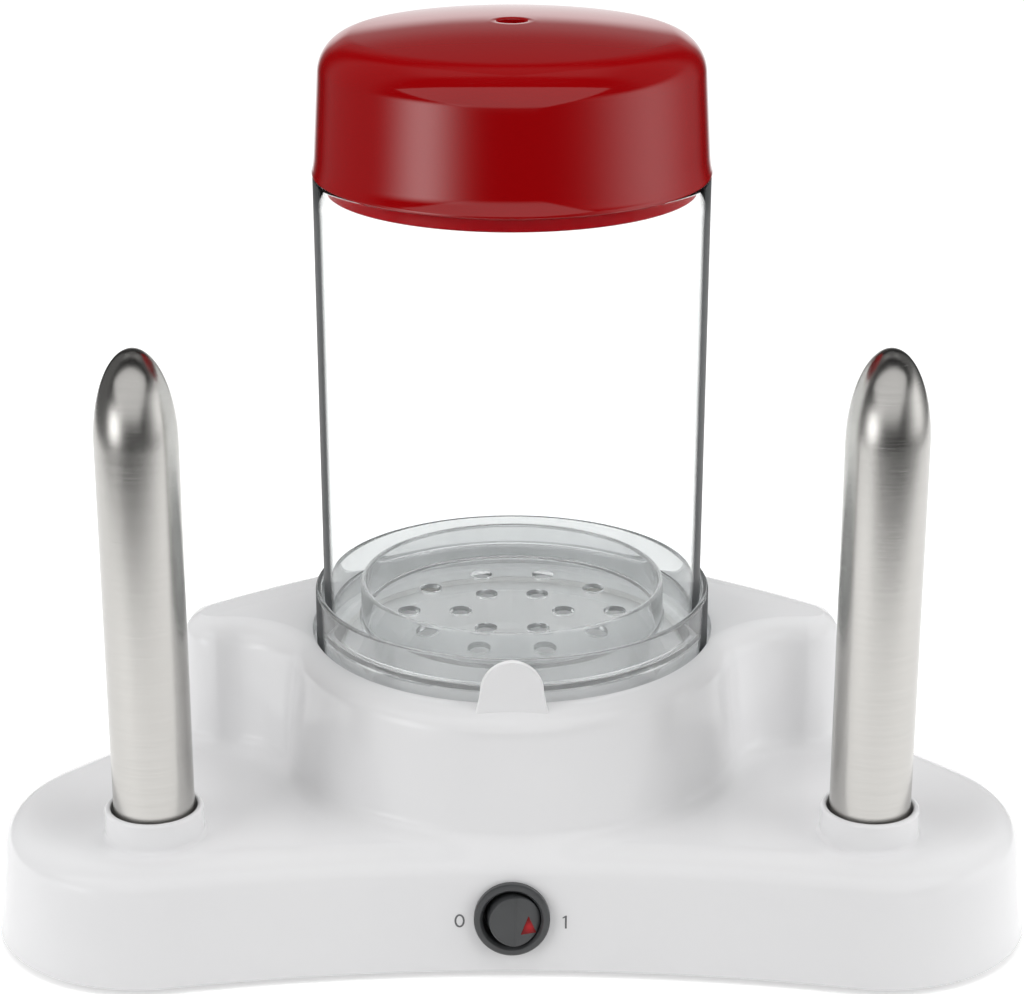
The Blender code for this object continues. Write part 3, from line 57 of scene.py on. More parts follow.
class Wire:
    def __init__(self, finish, socket):
        self.finish = finish
        self.socket = socket

    def maths(self, operation, *values):
        inputs = {place: value for place, value in enumerate(values)}
        return self.finish.node("ShaderNodeMath", {"operation": operation}, inputs)

    def __add__(self, other):
        return self.maths("ADD", self, other)

    def __radd__(self, other):
        return self.maths("ADD", other, self)

    def __sub__(self, other):
        return self.maths("SUBTRACT", self, other)

    def __rsub__(self, other):
        return self.maths("SUBTRACT", other, self)

    def __mul__(self, other):
        return self.maths("MULTIPLY", self, other)

    def __rmul__(self, other):
        return self.maths("MULTIPLY", other, self)

    def __truediv__(self, other):
        return self.maths("DIVIDE", self, other)

    def __pow__(self, other):
        return self.maths("POWER", self, other)


class Finish:
    def __init__(self, name, owner=None):
        self.material = owner or bpy.data.materials.new(name)
        self.material.use_nodes = True
        self.tree = self.material.node_tree
        self.tree.nodes.clear()

    def node(self, kind, settings=None, inputs=None, out=0):
        made = self.tree.nodes.new(kind)
        for key, value in (settings or {}).items():
            setattr(made, key, value)
        for key, value in (inputs or {}).items():
            if isinstance(value, Wire):
                self.tree.links.new(value.socket, made.inputs[key])
            else:
                made.inputs[key].default_value = value
        return Wire(self, made.outputs[out]) if len(made.outputs) else None

    def spot(self):
        return self.node("ShaderNodeTexCoord", out="Object")

    def split(self, spot, axes="XYZ"):
        return [self.node("ShaderNodeSeparateXYZ", {}, {0: spot}, out=axis) for axis in axes]

    def noise(self, scale, detail=3.0, rough=0.5, stretch=(1, 1, 1)):
        where = self.node("ShaderNodeMapping", {}, {"Vector": self.spot(), "Scale": stretch})
        return self.node("ShaderNodeTexNoise", {}, {"Vector": where, "Scale": scale,
                                                    "Detail": detail, "Roughness": rough},
                         out="Fac")

    def blend(self, share, first, second):
        return self.node("ShaderNodeMix", {"data_type": "RGBA"},
                         {0: share, 6: rgb(*first), 7: rgb(*second)}, out=2)

    def ease(self, value, low, high):
        return self.node("ShaderNodeMapRange", {"interpolation_type": "SMOOTHSTEP"},
                         {"Value": value, "From Min": low, "From Max": high})

    def bump(self, height, distance):
        return self.node("ShaderNodeBump", {}, {"Height": height, "Distance": distance})

    def body(self, inputs):
        return self.node("ShaderNodeBsdfPrincipled", {}, inputs)

    def mix(self, share, first, second):
        return self.node("ShaderNodeMixShader", {}, {0: share, 1: first, 2: second})

    def rays(self, *kinds):
        return [self.node("ShaderNodeLightPath", out=f"Is {kind} Ray") for kind in kinds]

    def surface(self, shader):
        self.node("ShaderNodeOutputMaterial", {}, {"Surface": shader})
        return self.material


def rgb(red, green, blue):
    return (red, green, blue, 1.0)


# finishes

whiteLook = {"light": (0.80, 0.80, 0.805), "dark": (0.775, 0.775, 0.785), "gloss": 0.11,
             "bend": 1.49, "cloud": 22.0, "cloudRough": 0.03, "grain": 1400.0,
             "grainRough": 0.02, "grainHigh": 0.06, "wave": 70.0, "waveHigh": 0.00002}
# below the rim the lid's colour is a darker red: painted shade under its overhang
redLook = {"light": (0.330, 0.0010, 0.0024), "dark": (0.305, 0.0009, 0.0021), "gloss": 0.05,
           "bend": 1.5, "cloud": 30.0, "speck": 900.0, "speckRough": 0.03, "wave": 55.0,
           "waveHigh": 0.000012, "shadedPlug": (0.215, 0.0020, 0.0040), "plugGloss": 0.4,
           "plugSpeck": 0.1, "plugBend": 1.08, "plugTop": 0.2294, "plugFade": 0.0004}
jarFinish = {"tint": (0.965, 0.975, 0.975), "bend": 1.12, "haze": 0, "outer": 0.0592}
trayFinish = {"tint": (0.80, 0.807, 0.810), "bend": 1.40, "haze": 0.10, "outer": 0.0618}
# the edge colour is a painted reflection of dark surroundings on the grazing edges of the clear
# walls
clearLook = {"gloss": 0.015, "cloud": 40.0, "cloudRough": 0.01, "milk": (0.80, 0.81, 0.81),
             "milkGloss": 0.35, "milkBend": 1.49, "edge": (0.070, 0.074, 0.076),
             "edgeGloss": 0.3, "edgeBend": 1.04, "edgeShadeFrom": (0.69, 0.78), "edgeShadeShare": 0.98,
             "edgeShadeFade": 0.0002, "passing": (0.93, 0.94, 0.94), "passShare": 0.92,
             "hazeFrom": 0.7, "hazeSpread": 0.6}
steelLook = {"light": (0.60, 0.59, 0.57), "dark": (0.44, 0.43, 0.41), "gloss": 0.19,
             "streak": (60, 60, 5200), "broad": (30, 30, 700), "streakShare": 0.7,
             "streakRough": 0.12, "streakHigh": 0.000008}
lensLook = {"colour": (0.12, 0.002, 0.003), "glow": (0.30, 0.008, 0.012), "dim": (0.02, 0.0, 0.0),
            "spot": 0.0024, "drop": 0.0006, "ribs": 900.0, "ribShare": 0.15, "gloss": 0.22,
            "ribRough": 0.04, "bend": 1.3}


def whitePlastic():
    finish, at = Finish("whitePlastic"), whiteLook
    cloud = finish.noise(at["cloud"], 2.0)
    grain = finish.noise(at["grain"], 2.0)
    wave = finish.noise(at["wave"], 1.0)
    return finish.surface(finish.body({
        "Base Color": finish.blend(cloud, at["dark"], at["light"]), "IOR": at["bend"],
        "Roughness": at["gloss"] + cloud * at["cloudRough"] + grain * at["grainRough"],
        "Normal": finish.bump(wave + grain * at["grainHigh"], at["waveHigh"])}))


def redPlastic():
    finish, at = Finish("redPlastic"), redLook
    cloud = finish.noise(at["cloud"], 2.0)
    wave = finish.noise(at["wave"], 1.0)
    speck = finish.noise(at["speck"], 1.0)
    shell = finish.body({"Base Color": finish.blend(cloud, at["dark"], at["light"]),
                         "Roughness": at["gloss"] + speck * at["speckRough"],
                         "Normal": finish.bump(wave, at["waveHigh"]), "IOR": at["bend"]})
    # the part below the rim sits in the jar and has a dull finish; its darker red there is painted
    # shade from the lid's overhang
    shadedPlug = finish.body({"Base Color": rgb(*at["shadedPlug"]), "IOR": at["plugBend"],
                        "Roughness": at["plugGloss"] + speck * at["plugSpeck"]})
    height = finish.split(finish.spot(), "Z")[0]
    above = finish.ease(height, at["plugTop"] - at["plugFade"], at["plugTop"])
    return finish.surface(finish.mix(above, shadedPlug, shell))


def clearPlastic(name, own):
    finish, at = Finish(name), clearLook
    cloud = finish.noise(at["cloud"], 2.0)
    facing = finish.node("ShaderNodeLayerWeight", {}, {"Blend": 0.5}, out="Facing")
    # painted reflection: a dark colour on the grazing edges stands in for the dark surroundings
    # refracted and mirrored there; it belongs to the outermost wall alone
    x, y = finish.split(finish.spot(), "XY")
    reach = (x * x + (y - towerY) * (y - towerY)) ** 0.5
    edge = (finish.ease(facing, *at["edgeShadeFrom"]) * at["edgeShadeShare"]
            * finish.ease(reach, own["outer"] - at["edgeShadeFade"], own["outer"] + at["edgeShadeFade"]))
    body = finish.body({"Base Color": rgb(*own["tint"]), "IOR": own["bend"],
                        "Roughness": at["gloss"] + cloud * at["cloudRough"],
                        "Transmission Weight": 1.0})
    if own["haze"]:
        milky = finish.body({"Base Color": rgb(*at["milk"]), "Roughness": at["milkGloss"],
                             "IOR": at["milkBend"]})
        haze = own["haze"] * (at["hazeFrom"] + cloud * at["hazeSpread"])
        body = finish.mix(haze, body, milky)
    dark = finish.body({"Base Color": rgb(*at["edge"]), "Roughness": at["edgeGloss"],
                        "IOR": at["edgeBend"]})
    solid = finish.mix(edge, body, dark)
    # light falls through it, so it throws next to no shadow
    passing = finish.node("ShaderNodeBsdfTransparent", {}, {"Color": rgb(*at["passing"])})
    return finish.surface(finish.mix(finish.rays("Shadow")[0] * at["passShare"], solid, passing))


def brushedSteel():
    finish, at = Finish("brushedSteel"), steelLook
    streak = finish.noise(1.0, 4.0, 0.6, at["streak"])
    broad = finish.noise(1.0, 2.0, 0.5, at["broad"])
    share = streak * at["streakShare"] + broad * (1 - at["streakShare"])
    return finish.surface(finish.body({
        "Base Color": finish.blend(share, at["dark"], at["light"]), "Metallic": 1.0,
        "Roughness": at["gloss"] + streak * at["streakRough"],
        "Normal": finish.bump(streak, at["streakHigh"])}))


def redLens():
    finish, at = Finish("redLens"), lensLook
    ribs = finish.noise(at["ribs"], 1.0)
    low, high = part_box("rocker_lens")
    middle = (low + high) / 2 - Vector((0, 0, at["drop"]))
    away = finish.node("ShaderNodeVectorMath", {"operation": "DISTANCE"},
                       {0: finish.spot(), 1: middle}, out="Value")
    lit = 1 - finish.ease(away, 0.0, at["spot"])
    share = lit * (1 - at["ribShare"]) + ribs * at["ribShare"]
    return finish.surface(finish.body({
        "Base Color": rgb(*at["colour"]), "Roughness": at["gloss"] + ribs * at["ribRough"],
        "IOR": at["bend"], "Emission Color": finish.blend(share, at["dim"], at["glow"]),
        "Emission Strength": 1.0}))


def mottled(name, light, dark, pattern, gloss, spread, relief=0.0, grain=None, metal=0.0):
    # two near colours in a soft pattern; gloss and relief follow the grain, or else the pattern
    finish = Finish(name)
    cloud = finish.noise(*pattern)
    fine = finish.noise(*grain) if grain else cloud
    return finish.surface(finish.body({
        "Base Color": finish.blend(cloud, dark, light), "Metallic": metal,
        "Roughness": gloss + fine * spread, "Normal": finish.bump(fine, relief)}))


# light and dark colour, scale and detail of the pattern, gloss and its spread, relief, and
# where needed scale and detail of a finer grain and the share of metal
mottledLooks = {
    "dark_plastic": ((0.053, 0.055, 0.057), (0.040, 0.042, 0.044), (160, 2), 0.28, 0.08,
                     0.000012, (5200, 2)),
    "grey_rubber": ((0.075, 0.075, 0.078), (0.045, 0.045, 0.048), (120, 2), 0.62, 0.12,
                    0.00003, (2600, 3)),
    "ink": ((0.125, 0.125, 0.13), (0.10625, 0.10625, 0.1105), (3000, 2), 0.3, 0.1),
    "dish_steel": ((0.80, 0.80, 0.80), (0.72, 0.72, 0.73), (300, 4, 0.6), 0.36, 0.12, 0.00001,
                   None, 0.35),
    "zinc_steel": ((0.62, 0.63, 0.65), (0.46, 0.46, 0.47), (700, 4, 0.6), 0.30, 0.12, 0.00001,
                   None, 1.0),
    "brass": ((0.74, 0.53, 0.20), (0.60, 0.41, 0.14), (500, 4, 0.6), 0.24, 0.12, 0.00001,
              None, 1.0),
    "silicone": ((0.60, 0.59, 0.56), (0.52, 0.51, 0.49), (900, 3), 0.51, 0.08, 0.00002),
    "brown_phenolic": ((0.095, 0.050, 0.030), (0.060, 0.032, 0.020), (1100, 3), 0.46, 0.08,
                       0.00003),
    "ceramic": ((0.76, 0.74, 0.69), (0.68, 0.66, 0.61), (1500, 3), 0.51, 0.08, 0.00003),
    "red_wire": ((0.50, 0.020, 0.020), (0.42, 0.015, 0.015), (800, 3), 0.38, 0.08, 0.00001),
    "blue_wire": ((0.02, 0.08, 0.45), (0.015, 0.06, 0.38), (800, 3), 0.38, 0.08, 0.00001),
    "green_wire": ((0.10, 0.36, 0.05), (0.60, 0.55, 0.03), (60, 3), 0.38, 0.08, 0.00001),
}
# each finish has the name of its material slot, apart from the tray's and the ink
finishes = {"white_plastic": whitePlastic(), "red_plastic": redPlastic(),
            "clear_plastic": clearPlastic("clearPlastic", jarFinish),
            "tray": clearPlastic("trayPlastic", trayFinish), "brushed_steel": brushedSteel(),
            "red_lens": redLens()}
for key, values in mottledLooks.items():
    finishes[key] = mottled(key, *values)
print("finishes made:", len(finishes))


# making pieces

def smooth(mesh, turn=30.0):
    mesh.shade_smooth()
    mesh.set_sharp_from_angle(angle=radians(turn))


def finishPiece(shape, name, body=None, slot=None, stands=(), finish=None, turn=30.0):
    mesh = bpy.data.meshes.new(name)
    shape.to_mesh(mesh)
    shape.free()
    smooth(mesh, turn)
    piece = bpy.data.objects.new(name, mesh)
    scene.collection.objects.link(piece)
    mesh.materials.append(finishes[finish or slot or "white_plastic"])
    if body:
        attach(piece, body)
    if stands:
        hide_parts(*stands)
    return piece


def faceOut(shape):
    bmesh.ops.recalc_face_normals(shape, faces=shape.faces)


def onCircle(centre, radius, turn):
    return (centre[0] + radius * cos(turn), centre[1] + radius * sin(turn))


def turnTo(centre, place):
    return atan2(place[1] - centre[1], place[0] - centre[0])


def bow(centre, radius, start, end, count):
    # points on an arc, both ends included, angles in degrees
    return [onCircle(centre, radius, radians(start + (end - start) * step / count))
            for step in range(count + 1)]


def drum(reach, high, low):
    return [(0, high), (reach, high), (reach, low), (0, low)]


def lathe(profile, steps, closed=True, axis=(0, 0)):
    # turns a profile of (reach, height) about an upright axis
    shape = bmesh.new()
    corners = [shape.verts.new((axis[0] + reach, axis[1], height)) for reach, height in profile]
    edges = [shape.edges.new(pair) for pair in zip(corners, corners[1:])]
    if closed:
        edges.append(shape.edges.new((corners[-1], corners[0])))
    bmesh.ops.spin(shape, geom=corners + edges, cent=(axis[0], axis[1], 0), axis=(0, 0, 1),
                   angle=2 * pi, steps=steps, use_merge=True)
    bmesh.ops.remove_doubles(shape, verts=shape.verts, dist=0.000002)
    faceOut(shape)
    return shape


def extend(shape, edges):
    # pulls new corners and edges out of open edges
    grown = bmesh.ops.extrude_edge_only(shape, edges=edges)["geom"]
    return ([item for item in grown if isinstance(item, bmesh.types.BMVert)],
            [item for item in grown if isinstance(item, bmesh.types.BMEdge)])


def stack(shape, loop, edges, rings):
    # a skin through rings of places, each pulled out of the one before
    for number, ring in enumerate(rings):
        if number:
            loop, edges = extend(shape, edges)
        for vert, place in zip(loop, ring):
            vert.co = place
    return edges


def soften(shape, edges, offset, segments):
    bmesh.ops.bevel(shape, geom=edges, offset=offset, offset_type="OFFSET", segments=segments,
                    profile=0.5, affect="EDGES", material=-1, clamp_overlap=True)


def setShape(shape, matrix):
    bmesh.ops.transform(shape, matrix=matrix, verts=shape.verts)
    return shape


def carve(piece, tools, operation="DIFFERENCE"):
    # runs Boolean modifiers at once and leaves one plain mesh; the tools are removed
    for tool in tools:
        step = piece.modifiers.new("carve", "BOOLEAN")
        step.object = tool
        step.operation = operation
        step.solver = "EXACT"
    graph = bpy.context.evaluated_depsgraph_get()
    graph.update()
    mesh = bpy.data.meshes.new_from_object(piece.evaluated_get(graph), depsgraph=graph)
    piece.modifiers.clear()
    piece.data = mesh
    mesh.name = piece.name
    smooth(mesh)
    while len(mesh.materials) > 1:
        mesh.materials.pop()
    mesh.polygons.foreach_set("material_index", [0] * len(mesh.polygons))
    for tool in tools:
        bpy.data.objects.remove(tool, do_unlink=True)


def turnedTool(profile, steps=192, place=(0, towerY)):
    return finishPiece(lathe(profile, steps, closed=False, axis=place), "tool")


# camera

cameraLook = {"back": 0.8121, "height": 0.4195, "pitch": 19.96, "lens": 95.953, "sensor": 36.0,
              "nearest": 0.01}

lens = bpy.data.cameras.new("camera")
lens.lens = cameraLook["lens"]
lens.sensor_width = cameraLook["sensor"]
lens.clip_start = cameraLook["nearest"]
camera = bpy.data.objects.new("camera", lens)
camera.location = (0, towerY - cameraLook["back"], cameraLook["height"])
camera.rotation_euler = (radians(90 - cameraLook["pitch"]), 0, 0)
scene.collection.objects.link(camera)
scene.camera = camera


# housing: a smooth skin over the slab and the tower

housingLook = {
    "lobe": (0.1125, -0.0475), "lobeRadius": 0.048, "frontHollow": 0.0117,
    "flankRadius": 0.340, "flankTurn": 40.0, "deck": 0.040, "deckRound": 0.0085,
    "foot": 0.0023, "draft": 6.0, "wall": 0.0025,
    "towerRadius": 0.075, "towerTop": 0.082, "towerRound": 0.007, "flare": 0.005,
    "earRadius": 0.018, "earTurn": 50.0, "hollow": 0.022,
    "recess": 0.0639, "ledge": 0.077, "hole": 0.0570,
    "switchHeight": 0.0195, "glandHeight": 0.018, "overlap": 0.002, "flareGap": 0.0088,
    "cavityLow": 0.004, "recessSpare": 0.003,
}
look = housingLook
axis, lobe = (0.0, 0.0), look["lobe"]
lobeRadius, flankRadius, earRadius = (look[key + "Radius"] for key in ("lobe", "flank", "ear"))
towerRadius = look["towerRadius"]
flankTurn, earTurn, draftTurn = (radians(look[key]) for key in ("flankTurn", "earTurn", "draft"))
slope = tan(draftTurn)
frontReach = lobeRadius - lobe[1] - look["frontHollow"]
frontRadius = ((lobe[0] ** 2 + (lobe[1] + frontReach) ** 2 - lobeRadius ** 2)
               / (2 * look["frontHollow"]))
frontCentre = (0.0, -frontReach - frontRadius)
frontTurn = turnTo(frontCentre, lobe)
flankCentre = onCircle(lobe, lobeRadius - flankRadius, flankTurn)
backTurn = turnTo(flankCentre, axis)
backRadius = flankRadius - hypot(*flankCentre)
earCentre = onCircle(flankCentre, flankRadius - earRadius, earTurn)


def meetingPoint(first, firstReach, second, secondReach):
    across = Vector(second) - Vector(first)
    along = (firstReach ** 2 - secondReach ** 2 + across.length ** 2) / (2 * across.length)
    aside = sqrt(firstReach ** 2 - along ** 2)
    unit = across.normalized()
    return Vector(first) + unit * along + Vector((unit.y, -unit.x)) * aside


hollowCentre = meetingPoint(axis, towerRadius + look["hollow"], earCentre,
                            earRadius + look["hollow"])
hollowCentre = (hollowCentre.x, hollowCentre.y)
towerTurn = turnTo(axis, hollowCentre)
earStart = turnTo(earCentre, hollowCentre)

# each arc: centre, radius, start, end, hollow
frontArc = (frontCentre, frontRadius, pi / 2, frontTurn, True)
lobeArc = (lobe, lobeRadius, frontTurn - pi, flankTurn, False)
flankArc = (flankCentre, flankRadius, flankTurn, backTurn, False)
backArc = (axis, backRadius, backTurn, pi / 2, False)
towerArc = (axis, towerRadius, -pi / 2, towerTurn, False)
hollowArc = (hollowCentre, look["hollow"], towerTurn + pi, earStart + pi, True)
earArc = (earCentre, earRadius, earStart, earTurn, False)
earFlankArc = (flankCentre, flankRadius, earTurn, backTurn, False)
slabArcs = [frontArc, lobeArc, flankArc, backArc]
towerArcs = [towerArc, hollowArc, earArc, earFlankArc, backArc]


def distanceTo(arcs, x, y):
    # signed distance to an outline, below 0 inside, and the share of the rear at that place
    best = np.full(x.shape, 9.0)
    rear = np.zeros(x.shape)
    side = np.abs(x)
    for centre, radius, start, end, isHollow in arcs:
        dx = side - centre[0]
        dy = y - centre[1]
        angle = np.arctan2(dy, dx)
        middle = (start + end) / 2
        angle = middle + (angle - middle + pi) % (2 * pi) - pi
        low, high = min(start, end) - look["overlap"], max(start, end) + look["overlap"]
        gap = np.hypot(dx, dy) - radius
        gap = -gap if isHollow else gap
        within = (angle >= low) & (angle <= high) & (np.abs(gap) < np.abs(best))
        best = np.where(within, gap, best)
        if centre == earCentre:
            share = np.clip((angle - earStart) / (0 - earStart), 0, 1)
        elif centre == flankCentre or radius == backRadius:
            share = np.ones(x.shape)
        else:
            share = np.zeros(x.shape)
        rear = np.where(within, share, rear)
    return best, rear


def roundMeet(first, second, radius):
    a = first + radius
    b = second + radius
    return (np.minimum(np.maximum(a, b), 0) + np.hypot(np.maximum(a, 0), np.maximum(b, 0))
            - radius)


def roundJoin(first, second, radius):
    a = np.maximum(radius - first, 0)
    b = np.maximum(radius - second, 0)
    return np.maximum(radius, np.minimum(first, second)) - np.hypot(a, b)


def skin(points):
    # below 0 inside the housing's outer form, measured from the tower's axis
    x, y, z = points[:, 0], points[:, 1], points[:, 2]
    slabGap, ignored = distanceTo(slabArcs, x, y)
    towerGap, rear = distanceTo(towerArcs, x, y)
    slabWall = slabGap + slope * (z - look["foot"])
    slab = roundMeet(slabWall, z - look["deck"], look["deckRound"])
    start = look["deck"] + (look["foot"] - look["deck"]) * rear
    towerWall = towerGap + slope * (z - start)
    tower = roundMeet(towerWall, z - look["towerTop"], look["towerRound"])
    blendRadius = look["flare"] * np.clip((towerGap - slabGap) / look["flareGap"], 0.0001, 1)
    return roundJoin(slab, tower, blendRadius)


def ontoSkin(points, lift=0.0, rounds=7):
    points = np.array(points, dtype=float)
    step = 0.00002
    for ignored in range(rounds):
        value = skin(points) - lift
        slopeAt = np.zeros_like(points)
        for axis in range(3):
            ahead = points.copy()
            behind = points.copy()
            ahead[:, axis] += step
            behind[:, axis] -= step
            slopeAt[:, axis] = (skin(ahead) - skin(behind)) / (2 * step)
        size = np.maximum((slopeAt ** 2).sum(axis=1), 0.2)
        points -= slopeAt * (value / size)[:, None]
    return points


def walk(arcs, count):
    # evenly spaced places along arcs that follow each other, without the last
    lengths = [abs(end - start) * radius for centre, radius, start, end, isHollow in arcs]
    total = sum(lengths)
    places = []
    for step in range(count):
        way = total * step / count
        for (centre, radius, start, end, isHollow), length in zip(arcs, lengths):
            if way <= length:
                places.append(onCircle(centre, radius, start + (end - start) * way / length))
                break
            way -= length
    return places


def partArc(arc, start, end):
    return (arc[0], arc[1], start, end, arc[4])


lobeTurns = (frontTurn - pi, radians(-40), radians(18))
earSide = radians(-40)
sideTurn = turnTo(flankCentre, onCircle(earCentre, earRadius, earSide))
lobeStartTurn = turnTo(axis, onCircle(lobe, lobeRadius, lobeTurns[0]))
# stretches of the outline behind the front wall: count of places, slab's and tower's arcs
stretches = [
    (26, [partArc(lobeArc, lobeTurns[0], lobeTurns[1])],
     [partArc(towerArc, lobeStartTurn, towerTurn)]),
    (26, [partArc(lobeArc, lobeTurns[1], lobeTurns[2])], [hollowArc]),
    (26, [partArc(lobeArc, lobeTurns[2], flankTurn), partArc(flankArc, flankTurn, sideTurn)],
     [partArc(earArc, earStart, earSide)]),
    (24, None, [partArc(earArc, earSide, earTurn)]),
    (32, [partArc(flankArc, earTurn, backTurn)], [earFlankArc]),
    (14, [backArc], [backArc]),
]
# along the front wall each place is paired with the tower's at the same turn
slabPlaces = walk([frontArc], 52)
towerPlaces = [onCircle(axis, towerRadius, turnTo(axis, place)) for place in slabPlaces]
for count, slabPart, towerPart in stretches:
    places = walk(towerPart, count)
    towerPlaces += places
    if slabPart:
        slabPlaces += walk(slabPart, count)
    else:  # beside the ear the flank's place at the same turn
        slabPlaces += [onCircle(flankCentre, flankRadius, turnTo(flankCentre, place))
                       for place in places]
slabPlaces.append((0.0, backRadius))
towerPlaces.append((0.0, backRadius))
slabPlaces += [(-x, y) for x, y in reversed(slabPlaces[1:-1])]
towerPlaces += [(-x, y) for x, y in reversed(towerPlaces[1:-1])]
slabPlaces = np.array(slabPlaces)
towerPlaces = np.array(towerPlaces)


# the rings of the skin: how the slab's wall, deck, flare, tower and top share them out
ringLook = {"wallSteps": 8, "wallLean": 0.0033, "roundSteps": 8, "deckSteps": 8,
            "flareSteps": 6, "towerSteps": 8, "towerRise": 0.030, "towerLean": 0.0037,
            "topLean": 0.0068, "openGap": 0.022, "narrowGap": 0.0036, "narrowSpan": 0.0165,
            "crossFrom": 0.030, "crossSpan": 0.018, "topInset": 0.0006}


def eased(share):
    return share * share * (3 - 2 * share)


def ringGuesses():
    # for each ring its share of the way from slab to tower, a growth of both, and its height
    at, deck, flare, bend = ringLook, look["deck"], look["flare"], look["deckRound"]
    wallTop, wallHigh = deck - bend, deck - bend - look["foot"]
    towerFoot, towerBend = deck + flare, look["towerRound"]
    rings = []
    for step in range(at["wallSteps"] + 1):
        share = step / at["wallSteps"]
        rings.append((0.0, -at["wallLean"] * share, look["foot"] + wallHigh * share))
    for x, z in bow((-bend, 0), bend, 0, 90, at["roundSteps"])[1:]:
        rings.append((0.0, x - at["wallLean"], wallTop + z))
    for step in range(1, at["deckSteps"] + 1):
        rings.append(("deck", step / (at["deckSteps"] + 1), deck))
    for x, z in bow((flare, flare), flare, 270, 180, at["flareSteps"]):
        rings.append((1.0, x, deck + z))
    for step in range(1, at["towerSteps"] + 1):
        rise = at["towerRise"] * step / at["towerSteps"]
        rings.append((1.0, -slope * (rise + flare), towerFoot + rise))
    for step in range(1, at["roundSteps"] + 1):
        turn = radians(90 * step / at["roundSteps"])
        rings.append((1.0, -at["towerLean"] - at["topLean"] * (1 - cos(turn)),
                      look["towerTop"] - towerBend + towerBend * sin(turn)))
    return rings


def outwardOf(places):
    along = np.roll(places, -1, axis=0) - np.roll(places, 1, axis=0)
    normal = np.stack([along[:, 1], -along[:, 0]], axis=1)
    return normal / np.linalg.norm(normal, axis=1)[:, None]


def skinRings():
    at, lean = ringLook, ringLook["wallLean"]
    slabOut = outwardOf(slabPlaces)
    towerOut = outwardOf(towerPlaces)
    gap = np.linalg.norm(towerPlaces - slabPlaces, axis=1)
    openShare = eased(np.clip(gap / at["openGap"], 0, 1))
    narrow = np.clip((gap - at["narrowGap"]) / at["narrowSpan"], 0, 1)[:, None]
    guesses = ringGuesses()
    lastRise = look["towerTop"] - look["towerRound"]
    wallCount = sum(1 for guess in guesses if guess[2] < lastRise + 0.0001)
    made = []
    for index, (share, growth, height) in enumerate(guesses):
        if share == "deck":
            inner = slabPlaces - slabOut * (lean + look["deckRound"] * narrow)
            outer = towerPlaces + towerOut * look["flare"] * narrow
            flat = inner + (outer - inner) * growth
        elif share == 0.0:
            flat = slabPlaces + slabOut * (max(growth, -lean) + min(growth + lean, 0.0) * narrow)
        else:
            flat = towerPlaces + towerOut * (min(growth, 0.0) + max(growth, 0.0) * narrow)
        # where slab and tower share a wall the rings are spread evenly up it
        rise = look["foot"] + (lastRise - look["foot"]) * min(index / (wallCount - 1), 1.0)
        if height > lastRise:
            rise = height
        across = eased(min(max((rise - at["crossFrom"]) / at["crossSpan"], 0.0), 1.0))
        closed = slabPlaces + (towerPlaces - slabPlaces) * across
        out = slabOut + (towerOut - slabOut) * across
        closed = closed - out * (slope * (min(rise, lastRise) - look["foot"]))
        if height > lastRise:
            closed = closed - out * at["topLean"] * (1 - sqrt(max(
                0.0, 1 - ((height - lastRise) / look["towerRound"]) ** 2)))
        x = flat[:, 0] * openShare + closed[:, 0] * (1 - openShare)
        y = flat[:, 1] * openShare + closed[:, 1] * (1 - openShare)
        z = height * openShare + rise * (1 - openShare)
        made.append(np.stack([x, y, z], axis=1))
    return made


def evenRings(rings, lift, rounds=5):
    # each place moves towards the middle of its neighbours and back onto the skin
    grid = np.array(rings)
    for ignored in range(rounds):
        beside = (np.roll(grid, 1, axis=1) + np.roll(grid, -1, axis=1)) / 2
        along = (grid[:-2] + grid[2:]) / 2
        grid[1:-1] += 0.5 * ((beside[1:-1] + along) / 2 - grid[1:-1])
        flat = grid[1:-1].reshape(-1, 3)
        grid[1:-1] = ontoSkin(flat, lift, rounds=3).reshape(grid[1:-1].shape)
    return list(grid)


def closedSkin(name, lift, low):
    # the outer form, or the cavity where lift is below 0, closed below and above
    rings = evenRings([ontoSkin(ring, lift) for ring in skinRings()], lift)
    foot = rings[0].copy()
    foot[:, 2] = low
    if lift < 0:
        rings.insert(0, foot)
    else:
        rings[0][:, 2] = low
    last = rings[-1]
    last[:, 2] = look["towerTop"] + lift
    inner = last.copy()
    inner[:, :2] -= outwardOf(last[:, :2]) * ringLook["topInset"]
    rings.append(inner)
    shape = bmesh.new()
    loop = bmesh.ops.create_circle(shape, segments=len(slabPlaces), radius=lobeRadius)["verts"]
    edges = list(shape.edges)
    bmesh.ops.contextual_create(shape, geom=edges)
    bmesh.ops.contextual_create(shape, geom=stack(shape, loop, edges, rings))
    faceOut(shape)
    setShape(shape, Matrix.Translation((0, towerY, 0)))
    return finishPiece(shape, name)


def housingCavity():
    cavity = closedSkin("cavity", -look["wall"], look["foot"] - look["cavityLow"])
    reach, spare = look["recess"] + look["wall"], look["recessSpare"]
    low, high = look["ledge"] - spare, look["towerTop"] + spare
    carve(cavity, [turnedTool(drum(reach, high, low))])
    return cavity


boreLook = {"lip": 0.00002, "proud": 0.003, "wide": 0.002, "edgeSteps": 5, "recessEdge": 0.0004,
            "through": 0.007}


def boreProfile(bore, top, edge, wide, floor):
    # a bore with a rounded mouth, from above the top down to its floor
    high = top + boreLook["lip"]
    profile = [(0, top + boreLook["proud"]), (wide, top + boreLook["proud"]), (wide, high)]
    return profile + bow((bore + edge, high - edge), edge, 90, 180, boreLook["edgeSteps"]) + floor


def recessTool():
    reach, hole, ledge, edge = look["recess"], look["hole"], look["ledge"], boreLook["recessEdge"]
    low = ledge - boreLook["through"]
    floor = [(reach, ledge), (hole + edge, ledge), (hole, ledge - edge), (hole, low), (0, low)]
    return turnedTool(boreProfile(reach, look["towerTop"], edge, reach + boreLook["wide"], floor))


# collars, tongue and the holes in the housing

